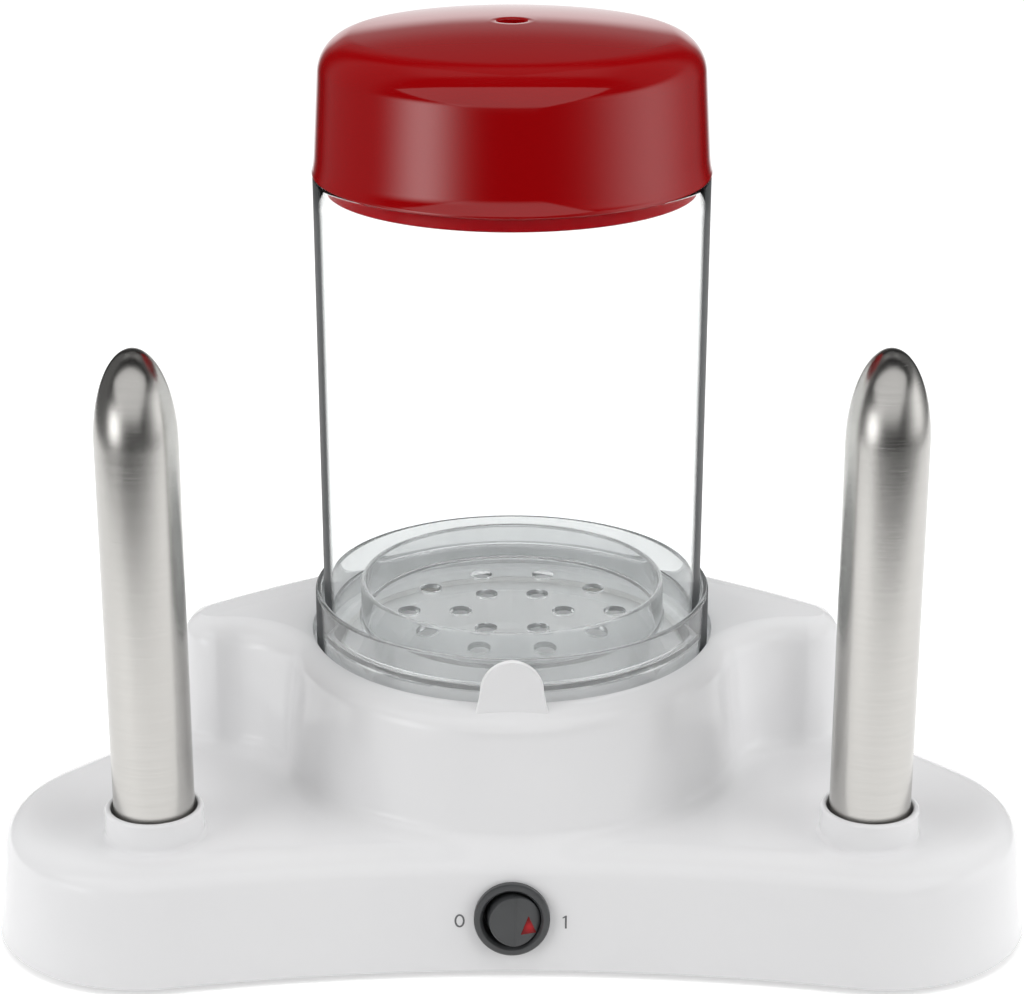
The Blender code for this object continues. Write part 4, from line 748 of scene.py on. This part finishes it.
collarLook = {"x": 0.1086, "y": -0.0655, "reach": 0.0150, "bore": 0.0131, "rise": 0.0092,
              "round": 0.0011, "fillet": 0.0014, "steps": 96, "boreRound": 0.0007,
              "boreDeep": 0.006, "lift": 0.00002}
spikePlaces = [(side * collarLook["x"], towerY + collarLook["y"]) for side in (-1, 1)]
collarTop = look["deck"] + collarLook["rise"]


def collar(place):
    reach, fillet, edge = collarLook["reach"], collarLook["fillet"], collarLook["round"]
    deck = look["deck"] - collarLook["lift"]
    profile = [(0, deck - fillet), (reach + fillet, deck - fillet)]
    profile += bow((reach + fillet, deck + fillet), fillet, 270, 180, 8)
    profile += bow((reach - edge, collarTop - edge), edge, 0, 90, 8)
    return turnedTool(profile + [(0, collarTop)], collarLook["steps"], place)


def collarBore(place):
    bore, edge = collarLook["bore"], collarLook["boreRound"]
    low, wide = look["deck"] - collarLook["boreDeep"], bore + edge + boreLook["wide"]
    profile = boreProfile(bore, collarTop, edge, wide, [(bore, low), (0, low)])
    return turnedTool(profile, collarLook["steps"], place)


tongueLook = {"front": 0.0674, "thick": 0.0022, "top": 0.0967, "foot": 0.0740,
              "widthTop": 0.0192, "widthFoot": 0.0247, "edge": 0.0008, "flare": 0.0032,
              "flareWide": 0.9, "flareThick": 0.5, "flareRise": 0.0026, "flareHigh": 0.0105,
              "root": 0.012, "sideSteps": 14, "topSteps": 15, "around": 48, "flatTurn": 0.72,
              "bendTurn": 43.9, "most": 0.98}


def barPlace(angle, width, depth):
    # a place on a rounded rectangle: its long sides lie where cos is below the flat turn
    at = tongueLook
    edge = min(at["edge"], width * at["most"], depth * at["most"])
    aside, ahead = (1 if cos(angle) > 0 else -1), (1 if sin(angle) > 0 else -1)
    if abs(cos(angle)) < at["flatTurn"]:
        return ((width - edge) * cos(angle) / at["flatTurn"],
                (max(depth - edge, 0) + edge) * ahead)
    bend = atan2(abs(sin(angle)), abs(cos(angle))) / radians(at["bendTurn"]) * pi / 2
    return ((max(width - edge, 0) + edge * cos(bend)) * aside,
            (max(depth - edge, 0) + edge * sin(bend)) * ahead)


def tongueTool():
    # stacked level loops: a rounded bar that flares into the tower at its foot
    at, half, topRadius = tongueLook, tongueLook["thick"] / 2, tongueLook["widthTop"] / 2
    shoulder = at["top"] - topRadius
    levels = []
    for step in range(at["sideSteps"] + 1):
        height = at["foot"] + (shoulder - at["foot"]) * step / at["sideSteps"]
        share = (shoulder - height) / (shoulder - (look["towerTop"] - at["root"]))
        width = topRadius + (at["widthFoot"] / 2 - topRadius) * max(0, min(share, 1.2))
        low = max(0.0, look["towerTop"] + at["flareRise"] - height) / at["flareHigh"]
        flare = at["flare"] * low ** 2
        levels.append((height, width + flare * at["flareWide"], half + flare * at["flareThick"]))
    for step in range(1, at["topSteps"] + 1):
        turn = radians(90 * step / (at["topSteps"] + 1))
        levels.append((shoulder + topRadius * sin(turn), topRadius * cos(turn), half))
    shape = bmesh.new()
    loop = bmesh.ops.create_circle(shape, segments=at["around"], radius=1.0)["verts"]
    angles = [atan2(vert.co.y, vert.co.x) for vert in loop]
    rings = []
    for height, width, depth in levels:
        places = [barPlace(angle, width, depth) for angle in angles]
        rings.append([(x, towerY - at["front"] + half + y, height) for x, y in places])
    stack(shape, loop, list(shape.edges), rings)
    bmesh.ops.holes_fill(shape, edges=shape.edges, sides=0)
    faceOut(shape)
    return finishPiece(shape, "tongue")


holeLook = {"switch": 0.0101, "gland": 0.0063, "out": 0.004, "in": 0.0065, "steps": 64}
switchPlace = Vector((0, towerY - frontReach + slope * (look["switchHeight"] - look["foot"]),
                      look["switchHeight"]))
switchMatrix = Matrix.Translation(switchPlace) @ Matrix.Rotation(
    radians(90 - look["draft"]), 4, "X")
glandPlace = Vector((0, towerY + backRadius - slope * (look["glandHeight"] - look["foot"]),
                     look["glandHeight"]))
glandAxis = Vector((0, cos(draftTurn), sin(draftTurn)))
glandMatrix = Matrix.Translation(glandPlace) @ Vector((0, 0, 1)).rotation_difference(
    glandAxis).to_matrix().to_4x4()


def roundHole(radius, matrix):
    shape = lathe(drum(radius, holeLook["out"], -holeLook["in"]), holeLook["steps"], closed=False)
    return finishPiece(setShape(shape, matrix), "roundHole")


housing = closedSkin("housing", 0.0, look["foot"])
carve(housing, [collar(place) for place in spikePlaces] + [tongueTool()], "UNION")
carve(housing, [housingCavity(), recessTool()] + [collarBore(place) for place in spikePlaces]
      + [roundHole(holeLook["switch"], switchMatrix), roundHole(holeLook["gland"], glandMatrix)])
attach(housing, "base")
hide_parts("base_housing")
print("housing finished:", len(housing.data.polygons), "faces")


# digits beside the switch, printed on the wall

digitLook = {"zeroX": -0.01575, "oneX": 0.01590, "height": 0.0187, "zeroWide": 0.0031,
             "zeroHigh": 0.0043, "oneHigh": 0.0042, "oneDrop": 0.0004, "stroke": 0.00058,
             "lift": 0.00004}
# the 1's corners: strokes to the right, foot or top, strokes down from there
oneCorners = ((0, -1, 0), (1, -1, 0), (1, 1, 0), (0.4, 1, 0), (-1.2, 1, 1), (-1.2, 1, 1.7),
              (0, 1, 1.2))


def printOnWall(shape, name):
    # flat (x, z) shape is laid on the front wall, a hair proud of it
    places = np.array([(vert.co.x, -frontReach, vert.co.y) for vert in shape.verts])
    laid = ontoSkin(places, lift=digitLook["lift"])
    for vert, spot in zip(shape.verts, laid):
        vert.co = (spot[0], spot[1] + towerY, spot[2])
    faceOut(shape)
    for face in shape.faces:
        if face.normal.y > 0:
            face.normal_flip()
    return finishPiece(shape, name, "base", "dark_plastic", finish="ink")


def zeroPrint():
    shape = bmesh.new()
    made = bmesh.ops.create_circle(shape, segments=40, radius=0.5)
    inner = extend(shape, list(shape.edges))[0]
    wide, high, stroke = digitLook["zeroWide"], digitLook["zeroHigh"], digitLook["stroke"]
    for vert in made["verts"]:
        vert.co = (vert.co.x * wide, vert.co.y * high, 0)
    for vert in inner:
        vert.co = (vert.co.x * (wide - 2 * stroke), vert.co.y * (high - 2 * stroke), 0)
    bmesh.ops.translate(shape, vec=(digitLook["zeroX"], digitLook["height"], 0),
                        verts=shape.verts)
    return printOnWall(shape, "digitZero")


def onePrint():
    shape = bmesh.new()
    high, stroke = digitLook["oneHigh"], digitLook["stroke"]
    outline = [(stroke * across, end * high / 2 - stroke * down)
               for across, end, down in oneCorners]
    height = digitLook["height"] - digitLook["oneDrop"]
    corners = [shape.verts.new((x + digitLook["oneX"], y + height, 0)) for x, y in outline]
    sides = [shape.edges.new(pair) for pair in zip(corners, corners[1:] + corners[:1])]
    bmesh.ops.contextual_create(shape, geom=sides)
    return printOnWall(shape, "digitOne")


zeroPrint()
onePrint()


# lid

lidLook = {"rimZ": 0.2298, "rim": 0.0607, "shoulder": 0.0584, "high": 0.0304, "round": 0.0120,
           "dome": 0.336, "wall": 0.0022, "vent": 0.0046, "ventEdge": 0.0006, "skirt": 0.0572,
           "skirtDeep": 0.0046, "skirtRise": 0.0030, "corner": 0.0003, "edge": 0.0004,
           "lip": 0.0024, "lipIn": 0.0006, "steps": 192}
# the rim's edge as (distance in, height) from its foot
rimEdge = ((0.00045, 0.0021), (0.0001, 0.0013), (0, 0.0009), (0, 0.0004), (0.0003, 0))


def lidProfile():
    at = lidLook
    rim, rimZ, wall, dome, rounding = (at[key] for key in ("rim", "rimZ", "wall", "dome", "round"))
    reach = at["shoulder"] - rounding
    rise = sqrt((dome - rounding) ** 2 - reach ** 2)
    middle = rimZ + at["high"] - rise
    lean, touch = atan2(rim - at["shoulder"], at["high"]), atan2(rise, reach)
    vent, ventEdge = at["vent"], at["ventEdge"]

    def domeLine(radius, start, end, count):
        places = [start + (end - start) * step / count for step in range(1, count + 1)]
        return [(x, middle + sqrt(radius ** 2 - x ** 2)) for x in places]

    outside = bow((vent + ventEdge, middle + dome - ventEdge), ventEdge, 180, 92, 5)
    outside += domeLine(dome, vent + ventEdge, dome * cos(touch), 24)
    outside += bow((reach, middle + rise), rounding, degrees(touch), degrees(lean), 24)[1:]
    lowX, lowZ = outside[-1]
    lipX, lipZ = rim - at["lipIn"], rimZ + at["lip"]
    outside += [(lowX + (lipX - lowX) * share, lowZ + (lipZ - lowZ) * share)
                for share in (step / 9 for step in range(1, 9))]
    outside += [(rim - inward, rimZ + height) for inward, height in rimEdge]
    skirt, skirtIn = at["skirt"], at["skirt"] - wall
    low, edge, corner = rimZ - at["skirtDeep"], at["edge"], at["corner"]
    under = [(skirt + corner, rimZ), (skirt, rimZ - corner), (skirt, low + edge),
             (skirt - edge, low), (skirtIn + edge, low), (skirtIn, low + edge),
             (skirtIn, rimZ + at["skirtRise"])]
    inside = bow((reach, middle + rise), rounding - wall, degrees(lean), degrees(touch), 12)
    return outside + under + inside + domeLine(dome - wall, (dome - wall) * cos(touch), vent, 12)


finishPiece(lathe(lidProfile(), lidLook["steps"], axis=(0, towerY)), "lidShell", "lid",
            "red_plastic", ("lid",))


# jar and tray

jarLook = {"foot": 0.0599, "top": 0.0605, "wall": 0.0020, "low": 0.0863, "high": 0.2295,
           "edge": 0.0006, "steps": 192}


def jarProfile():
    edge, wall = jarLook["edge"], jarLook["wall"]
    low, high, foot, top = jarLook["low"], jarLook["high"], jarLook["foot"], jarLook["top"]
    profile = bow((top - edge, high - edge), edge, 90, 0, 4)
    shares = [step / 12 for step in range(1, 12)]
    profile += [(top + (foot - top) * share, high - (high - low) * share) for share in shares]
    profile += bow((foot - edge, low + edge), edge, 0, -90, 4)
    profile += bow((foot - wall + edge, low + edge), edge, 270, 180, 4)
    profile += [(foot - wall + (top - foot) * share, low + (high - low) * share)
                for share in shares]
    profile += bow((top - wall + edge, high - edge), edge, 180, 90, 4)
    return profile


finishPiece(lathe(jarProfile(), jarLook["steps"], axis=(0, towerY)), "jarWall", "jar",
            "clear_plastic", ("jar",))

trayLook = {"reach": 0.0627, "wall": 0.0019, "low": 0.0773, "high": 0.0955, "floor": 0.0860,
            "under": 0.0844, "ring": 0.0483, "ringIn": 0.0465, "ringHigh": 0.0980,
            "edge": 0.0006, "ringRound": 0.0009, "footEdge": 0.0004, "underEdge": 0.0005,
            "hole": 0.0036, "holeTop": 0.090, "holeFloor": 0.080, "holeSteps": 32,
            "rings": ((0.0165, 6), (0.0330, 10)), "steps": 192}


def trayProfile():
    edge, reach = trayLook["edge"], trayLook["reach"]
    inner = reach - trayLook["wall"]
    low, high, floor, under = (trayLook[key] for key in ("low", "high", "floor", "under"))
    ring, ringIn, ringHigh = trayLook["ring"], trayLook["ringIn"], trayLook["ringHigh"]
    tip, foot, below = trayLook["ringRound"], trayLook["footEdge"], trayLook["underEdge"]
    profile = [(0, floor), (ringIn - edge, floor), (ringIn, floor + edge),
               (ringIn, ringHigh - below)]
    profile += bow(((ring + ringIn) / 2, ringHigh - tip), tip, 180, 0, 6)
    profile += [(ring, floor + edge), (ring + edge, floor), (inner - edge, floor),
                (inner, floor + edge)]
    profile += bow((inner + edge, high - edge), edge, 180, 90, 4)
    profile += bow((reach - edge, high - edge), edge, 90, 0, 4)
    return profile + [(reach, low + foot), (reach - foot, low), (inner + foot, low),
                      (inner, low + foot), (inner, under - below), (inner - below, under),
                      (0, under)]


tray = finishPiece(lathe(trayProfile(), trayLook["steps"], closed=False, axis=(0, towerY)),
                   "trayCup", "tray", "clear_plastic", ("sausage_tray",), "tray")
holeProfile = drum(trayLook["hole"], trayLook["holeTop"], trayLook["holeFloor"])
steamHoles = []
for ringReach, count in trayLook["rings"]:
    for index in range(count):
        place = onCircle((0, towerY), ringReach, 2 * pi * index / count)
        steamHoles.append(turnedTool(holeProfile, trayLook["holeSteps"], place))
carve(tray, steamHoles)
print("lid, jar and tray made")


# spikes

spikeLook = {"reach": 0.0123, "wall": 0.0008, "shoulder": 0.165, "tip": 0.0285,
             "flange": 0.0150, "sheet": 0.0012, "bendEdge": 0.0006, "flangeEdge": 0.0003,
             "underEdge": 0.0002, "bandHigh": 0.012, "steps": 128}


def spike(place, name, node):
    reach, shoulder, tip = spikeLook["reach"], spikeLook["shoulder"], spikeLook["tip"]
    inner = reach - spikeLook["wall"]
    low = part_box(node)[0].z
    turns = [radians(90 * step / 24) for step in range(25)]
    profile = [(reach * sin(turn), shoulder + tip * cos(turn)) for turn in turns]
    profile += [(reach, shoulder - spikeLook["bandHigh"] * step) for step in range(1, 10)]
    top, wide, bend = low + spikeLook["sheet"], spikeLook["flange"], spikeLook["bendEdge"]
    edge, under = spikeLook["flangeEdge"], spikeLook["underEdge"]
    profile += [(reach, top + bend), (reach + bend, top), (wide - edge, top),
                (wide, top - edge), (wide, low + under), (wide - under, low), (inner, low)]
    profile += [(inner * sin(turn), shoulder + (tip - spikeLook["wall"]) * cos(turn))
                for turn in reversed(turns[::2])]
    profile[0] = (0, shoulder + tip)
    profile[-1] = (0, shoulder + tip - spikeLook["wall"])
    shape = lathe(profile, spikeLook["steps"], closed=False, axis=place)
    finishPiece(shape, name, "base", "brushed_steel", (node,))


spike(spikePlaces[0], "leftSpike", "left_spike_tube")
spike(spikePlaces[1], "rightSpike", "right_spike_tube")


# switch

switchLook = {"bezel": 0.0115, "seat": 0.0005, "front": 0.0027, "round": 0.0009,
              "slopeReach": 0.0096, "slopeDrop": 0.0012, "bore": 0.0088, "barrel": 0.0097,
              "deep": -0.0130, "floor": -0.0070, "steps": 128,
              "slopeEdge": 0.0002, "slopeOut": 0.0001, "under": 0.0003, "rearEdge": 0.0005}


def switchBezel():
    at = switchLook
    front, seat, edge = at["front"], at["seat"] - at["under"], at["rearEdge"]
    profile = [(0, at["floor"]), (at["bore"], at["floor"]), (at["bore"], front - at["slopeDrop"])]
    profile += [(at["slopeReach"] - at["slopeEdge"], front - at["slopeEdge"]),
                (at["slopeReach"] + at["slopeOut"], front)]
    profile += bow((at["bezel"] - at["round"], front - at["round"]), at["round"], 90, 0, 8)
    profile += [(at["bezel"], seat), (at["barrel"], seat), (at["barrel"], at["deep"] + edge),
                (at["barrel"] - edge, at["deep"]), (0, at["deep"])]
    return lathe(profile, at["steps"], closed=False)


finishPiece(setShape(switchBezel(), switchMatrix), "switchBezel", "base", "dark_plastic",
            ("switch_body",))

rockerLook = {"reach": 0.00785, "pivot": 0.0020, "crest": 0.0062, "back": 0.0026, "tilt": 11.0,
              "edge": 0.00035, "steps": 96, "lensBase": 0.0052, "lensHigh": 0.0058,
              "lensX": 0.0041, "lensFoot": -0.0042, "lensProud": 0.0002, "lensDeep": 0.0010,
              "lensEdge": 0.0003, "sharpFrom": 8.0}
tilt = radians(rockerLook["tilt"])
rockerMatrix = (switchMatrix @ Matrix.Translation((0, 0, -rockerLook["pivot"]))
                @ Matrix.Rotation(tilt, 4, "Y"))


def rockerShape():
    at = rockerLook
    shape = bmesh.new()
    bmesh.ops.create_cone(shape, cap_ends=True, segments=at["steps"], radius1=at["reach"],
                          radius2=at["reach"], depth=at["crest"] + at["back"],
                          matrix=Matrix.Translation((0, 0, (at["crest"] - at["back"]) / 2)))
    for side in (-1, 1):
        everything = shape.verts[:] + shape.edges[:] + shape.faces[:]
        bmesh.ops.bisect_plane(shape, geom=everything, plane_co=(0, 0, at["crest"]),
                               plane_no=(side * sin(tilt), 0, cos(tilt)), clear_outer=True)
        bmesh.ops.holes_fill(shape, edges=[edge for edge in shape.edges if edge.is_boundary])
    faceOut(shape)
    sharp = [edge for edge in shape.edges
             if len(edge.link_faces) == 2 and edge.calc_face_angle(0) > radians(at["sharpFrom"])
             and edge.verts[0].co.z > 0]
    soften(shape, sharp, at["edge"], 3)
    return setShape(shape, rockerMatrix)


finishPiece(rockerShape(), "rockerCap", "rocker", "dark_plastic", ("switch_rocker",), turn=20)


def lensShape():
    at = rockerLook
    half = at["lensBase"] / 2
    shape = bmesh.new()
    corners = [shape.verts.new(place) for place in (
        (-half, at["lensFoot"], 0), (half, at["lensFoot"], 0),
        (0, at["lensFoot"] + at["lensHigh"], 0))]
    bmesh.ops.contextual_create(shape, geom=corners)
    grown = bmesh.ops.extrude_face_region(shape, geom=shape.faces[:])["geom"]
    top = [item for item in grown if isinstance(item, bmesh.types.BMVert)]
    bmesh.ops.translate(shape, vec=(0, 0, at["lensProud"] + at["lensDeep"]), verts=top)
    bmesh.ops.translate(shape, vec=(0, 0, -at["lensDeep"]), verts=shape.verts)
    faceOut(shape)
    soften(shape, shape.edges[:], at["lensEdge"], 2)
    place = Vector((cos(tilt) * at["lensX"], 0, at["crest"] - sin(tilt) * at["lensX"]))
    matrix = rockerMatrix @ Matrix.Translation(place) @ Matrix.Rotation(tilt, 4, "Y")
    return setShape(shape, matrix)


finishPiece(lensShape(), "rockerLens", "rocker", "red_lens", ("rocker_lens",))


# feet and gland

# profiles of (reach, height): a stem with a barb over a round pad, and a flanged sleeve
footProfile = [(0, 0.0062), (0.0026, 0.0062), (0.0038, 0.0052), (0.0026, 0.0050),
               (0.0026, 0.0020), (0.0066, 0.0020), (0.0075, 0.0012), (0.0075, 0.0007),
               (0.0070, 0.0002), (0.0066, 0), (0.0050, 0), (0.0046, 0.0004), (0, 0.0004)]
glandProfile = [(0.0036, 0.0021), (0.0040, 0.0023), (0.0060, 0.0021), (0.0078, 0.0019),
                (0.0085, 0.0013), (0.0085, 0.0003), (0.0060, 0.0003), (0.0060, -0.0115),
                (0.0036, -0.0115)]
smallSteps = 64

for number in range(1, 5):
    low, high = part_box(f"rubber_foot_{number}")
    place = ((low.x + high.x) / 2, (low.y + high.y) / 2)
    finishPiece(lathe(footProfile, smallSteps, closed=False, axis=place), f"rubberFoot{number}",
                "base", "grey_rubber", (f"rubber_foot_{number}",))
finishPiece(setShape(lathe(glandProfile, smallSteps), glandMatrix), "cordGland", "base",
            "dark_plastic", ("cord_gland",))
print("small pieces made")


# finishes of the CAD pieces that stay

for row in frame["record"]["subparts"]:
    for slot in frame["nodes"][row["node"]].material_slots:
        slot.material = finishes[row["material_slot"]]


# floor, world and lamps

studioLook = {"floor": 0.80, "fill": 0.45, "world": 0.48, "white": 1.10, "reach": 0.72,
              "back": 0.27, "frontShare": 0.50, "rearShare": 0.95, "rearFrom": (-0.6, 0.7)}

ground = bmesh.new()
bmesh.ops.create_circle(ground, cap_ends=True, segments=96, radius=studioLook["reach"],
                        matrix=Matrix.Translation((0, studioLook["back"], 0)))
groundMesh = bpy.data.meshes.new("floor")
ground.to_mesh(groundMesh)
ground.free()
floor = bpy.data.objects.new("floor", groundMesh)
scene.collection.objects.link(floor)


def floorFinish():
    finish = Finish("paleFloor")
    seen, mirrored, through = finish.rays("Camera", "Glossy", "Transmission")
    share = seen.maths("MAXIMUM", seen, mirrored)
    share = share.maths("MAXIMUM", share, through)
    pale = finish.node("ShaderNodeBsdfDiffuse", {}, {"Color": rgb(*[studioLook["floor"]] * 3)})
    glow = finish.node("ShaderNodeEmission", {}, {"Color": rgb(1, 1, 1),
                                                  "Strength": share * studioLook["fill"]})
    return finish.surface(finish.node("ShaderNodeAddShader", {}, {0: pale, 1: glow}))


groundMesh.materials.append(floorFinish())

# what polished surfaces mirror; turns and rises in degrees, 0 level and towards the camera
mirrorLook = {
    "backdropSide": (156, 168), "backdropRise": (6, 14),
    "duskSide": (150, 164), "duskLow": (11, 20), "duskLowBright": 0.16, "duskHigh": (22, 50),
    "duskHighBright": 0.08, "ceilingRise": (48, 68), "ceilingBack": (-0.20, 0.05),
    "ceilingBright": 0.16, "boxLeft": (-32, -28), "boxLeftLean": 2.09, "boxRight": (17, 21),
    "boxRightLean": 1.476, "boxRise": (-4, 3), "boxFront": (0.0, 0.05), "boxFrontLean": 1.5,
    "boxBright": 0.92, "stripFoot": (-14, -9), "stripBelow": 6, "stripAbove": 4,
    "wallNear": (72, 96), "wallFar": (130, 146), "wallBright": 0.14, "least": 0.015,
}
# the two strip lights: turn, spread, brightness and the rise that they end at
stripLooks = ((-52, 13, 3.4, 3), (81, 20, 1.45, 16))

world = bpy.data.worlds.new("studio")
scene.world = world
world.use_nodes = True
world.node_tree.nodes.clear()


def worldFinish():
    finish, at = Finish("studio", world), mirrorLook
    ways = finish.node("ShaderNodeTexCoord", out="Generated")  # the direction looked in
    x, y, z = finish.split(ways)
    turn = x.maths("ARCTAN2", x, 0 - y) * (180 / pi)
    rise = z.maths("ARCSINE", z) * (180 / pi)
    side = turn.maths("ABSOLUTE", turn)

    def grow(value, key):
        return finish.ease(value, *at[key])

    def fade(value, key):
        return 1 - finish.ease(value, *at[key])

    backdrop = grow(side, "backdropSide") * fade(rise, "backdropRise")
    dusk = grow(side, "duskSide") * (fade(rise, "duskLow") * at["duskLowBright"]
                                     + fade(rise, "duskHigh") * at["duskHighBright"])
    ceiling = grow(rise, "ceilingRise") * grow(y, "ceilingBack") * at["ceilingBright"]
    softbox = (grow(turn + rise * at["boxLeftLean"], "boxLeft")
               * fade(turn - rise * at["boxRightLean"], "boxRight") * grow(rise, "boxRise")
               * grow((0 - y) * at["boxFrontLean"] - z, "boxFront")) * at["boxBright"]
    strips = 0
    for place, width, bright, high in stripLooks:
        away = (turn - place) / width
        strip = (away * away * -0.5).maths("EXPONENT", away * away * -0.5) * bright
        top = finish.ease(rise, high - at["stripBelow"], high + at["stripAbove"])
        strips = strip * (1 - top) + strips
    strips = strips * grow(rise, "stripFoot")
    walls = grow(side, "wallNear") * fade(side, "wallFar") * at["wallBright"]
    mirrored = backdrop.maths("MAXIMUM", backdrop, dusk) + ceiling + softbox + strips + walls
    camera, through, glossy = finish.rays("Camera", "Transmission", "Glossy")
    white = camera.maths("MAXIMUM", camera, through)
    rear = finish.ease(y, *studioLook["rearFrom"]) * studioLook["rearShare"]
    ambient = studioLook["world"] * (studioLook["frontShare"] + rear)
    plain = white * (studioLook["white"] - ambient) + ambient
    polished = glossy * (1 - through)
    strength = polished * (mirrored + at["least"] - plain) + plain
    back = finish.node("ShaderNodeBackground", {}, {"Color": rgb(1, 1, 1),
                                                    "Strength": strength})
    finish.node("ShaderNodeOutputWorld", {}, {"Surface": back})


worldFinish()

# place, aim, size and power of each lamp
lampLooks = {
    "key": ((0.0, -0.35, 1.75), (0, 0, 0.10), (1.3, 0.8), 8),
    "left": ((-1.15, -0.70, 0.55), (0, 0, 0.10), (1.0, 1.2), 9.8),
    "right": ((1.22, -0.50, 0.55), (0, 0, 0.10), (1.0, 1.2), 9.8),
    "rear": ((0.0, 1.05, 1.30), (0, 0, 0.08), (1.2, 0.5), 4.5),
}
for name, (place, aim, size, power) in lampLooks.items():
    lamp = bpy.data.lights.new(name, "AREA")
    lamp.shape = "RECTANGLE"
    lamp.size, lamp.size_y = size
    lamp.energy = power
    holder = bpy.data.objects.new(name, lamp)
    holder.location = place
    holder.rotation_euler = (Vector(aim) - Vector(place)).to_track_quat("-Z", "Y").to_euler()
    holder.visible_camera = False
    holder.visible_glossy = False
    scene.collection.objects.link(holder)

scene.view_settings.view_transform = "Standard"
print("studio lit")
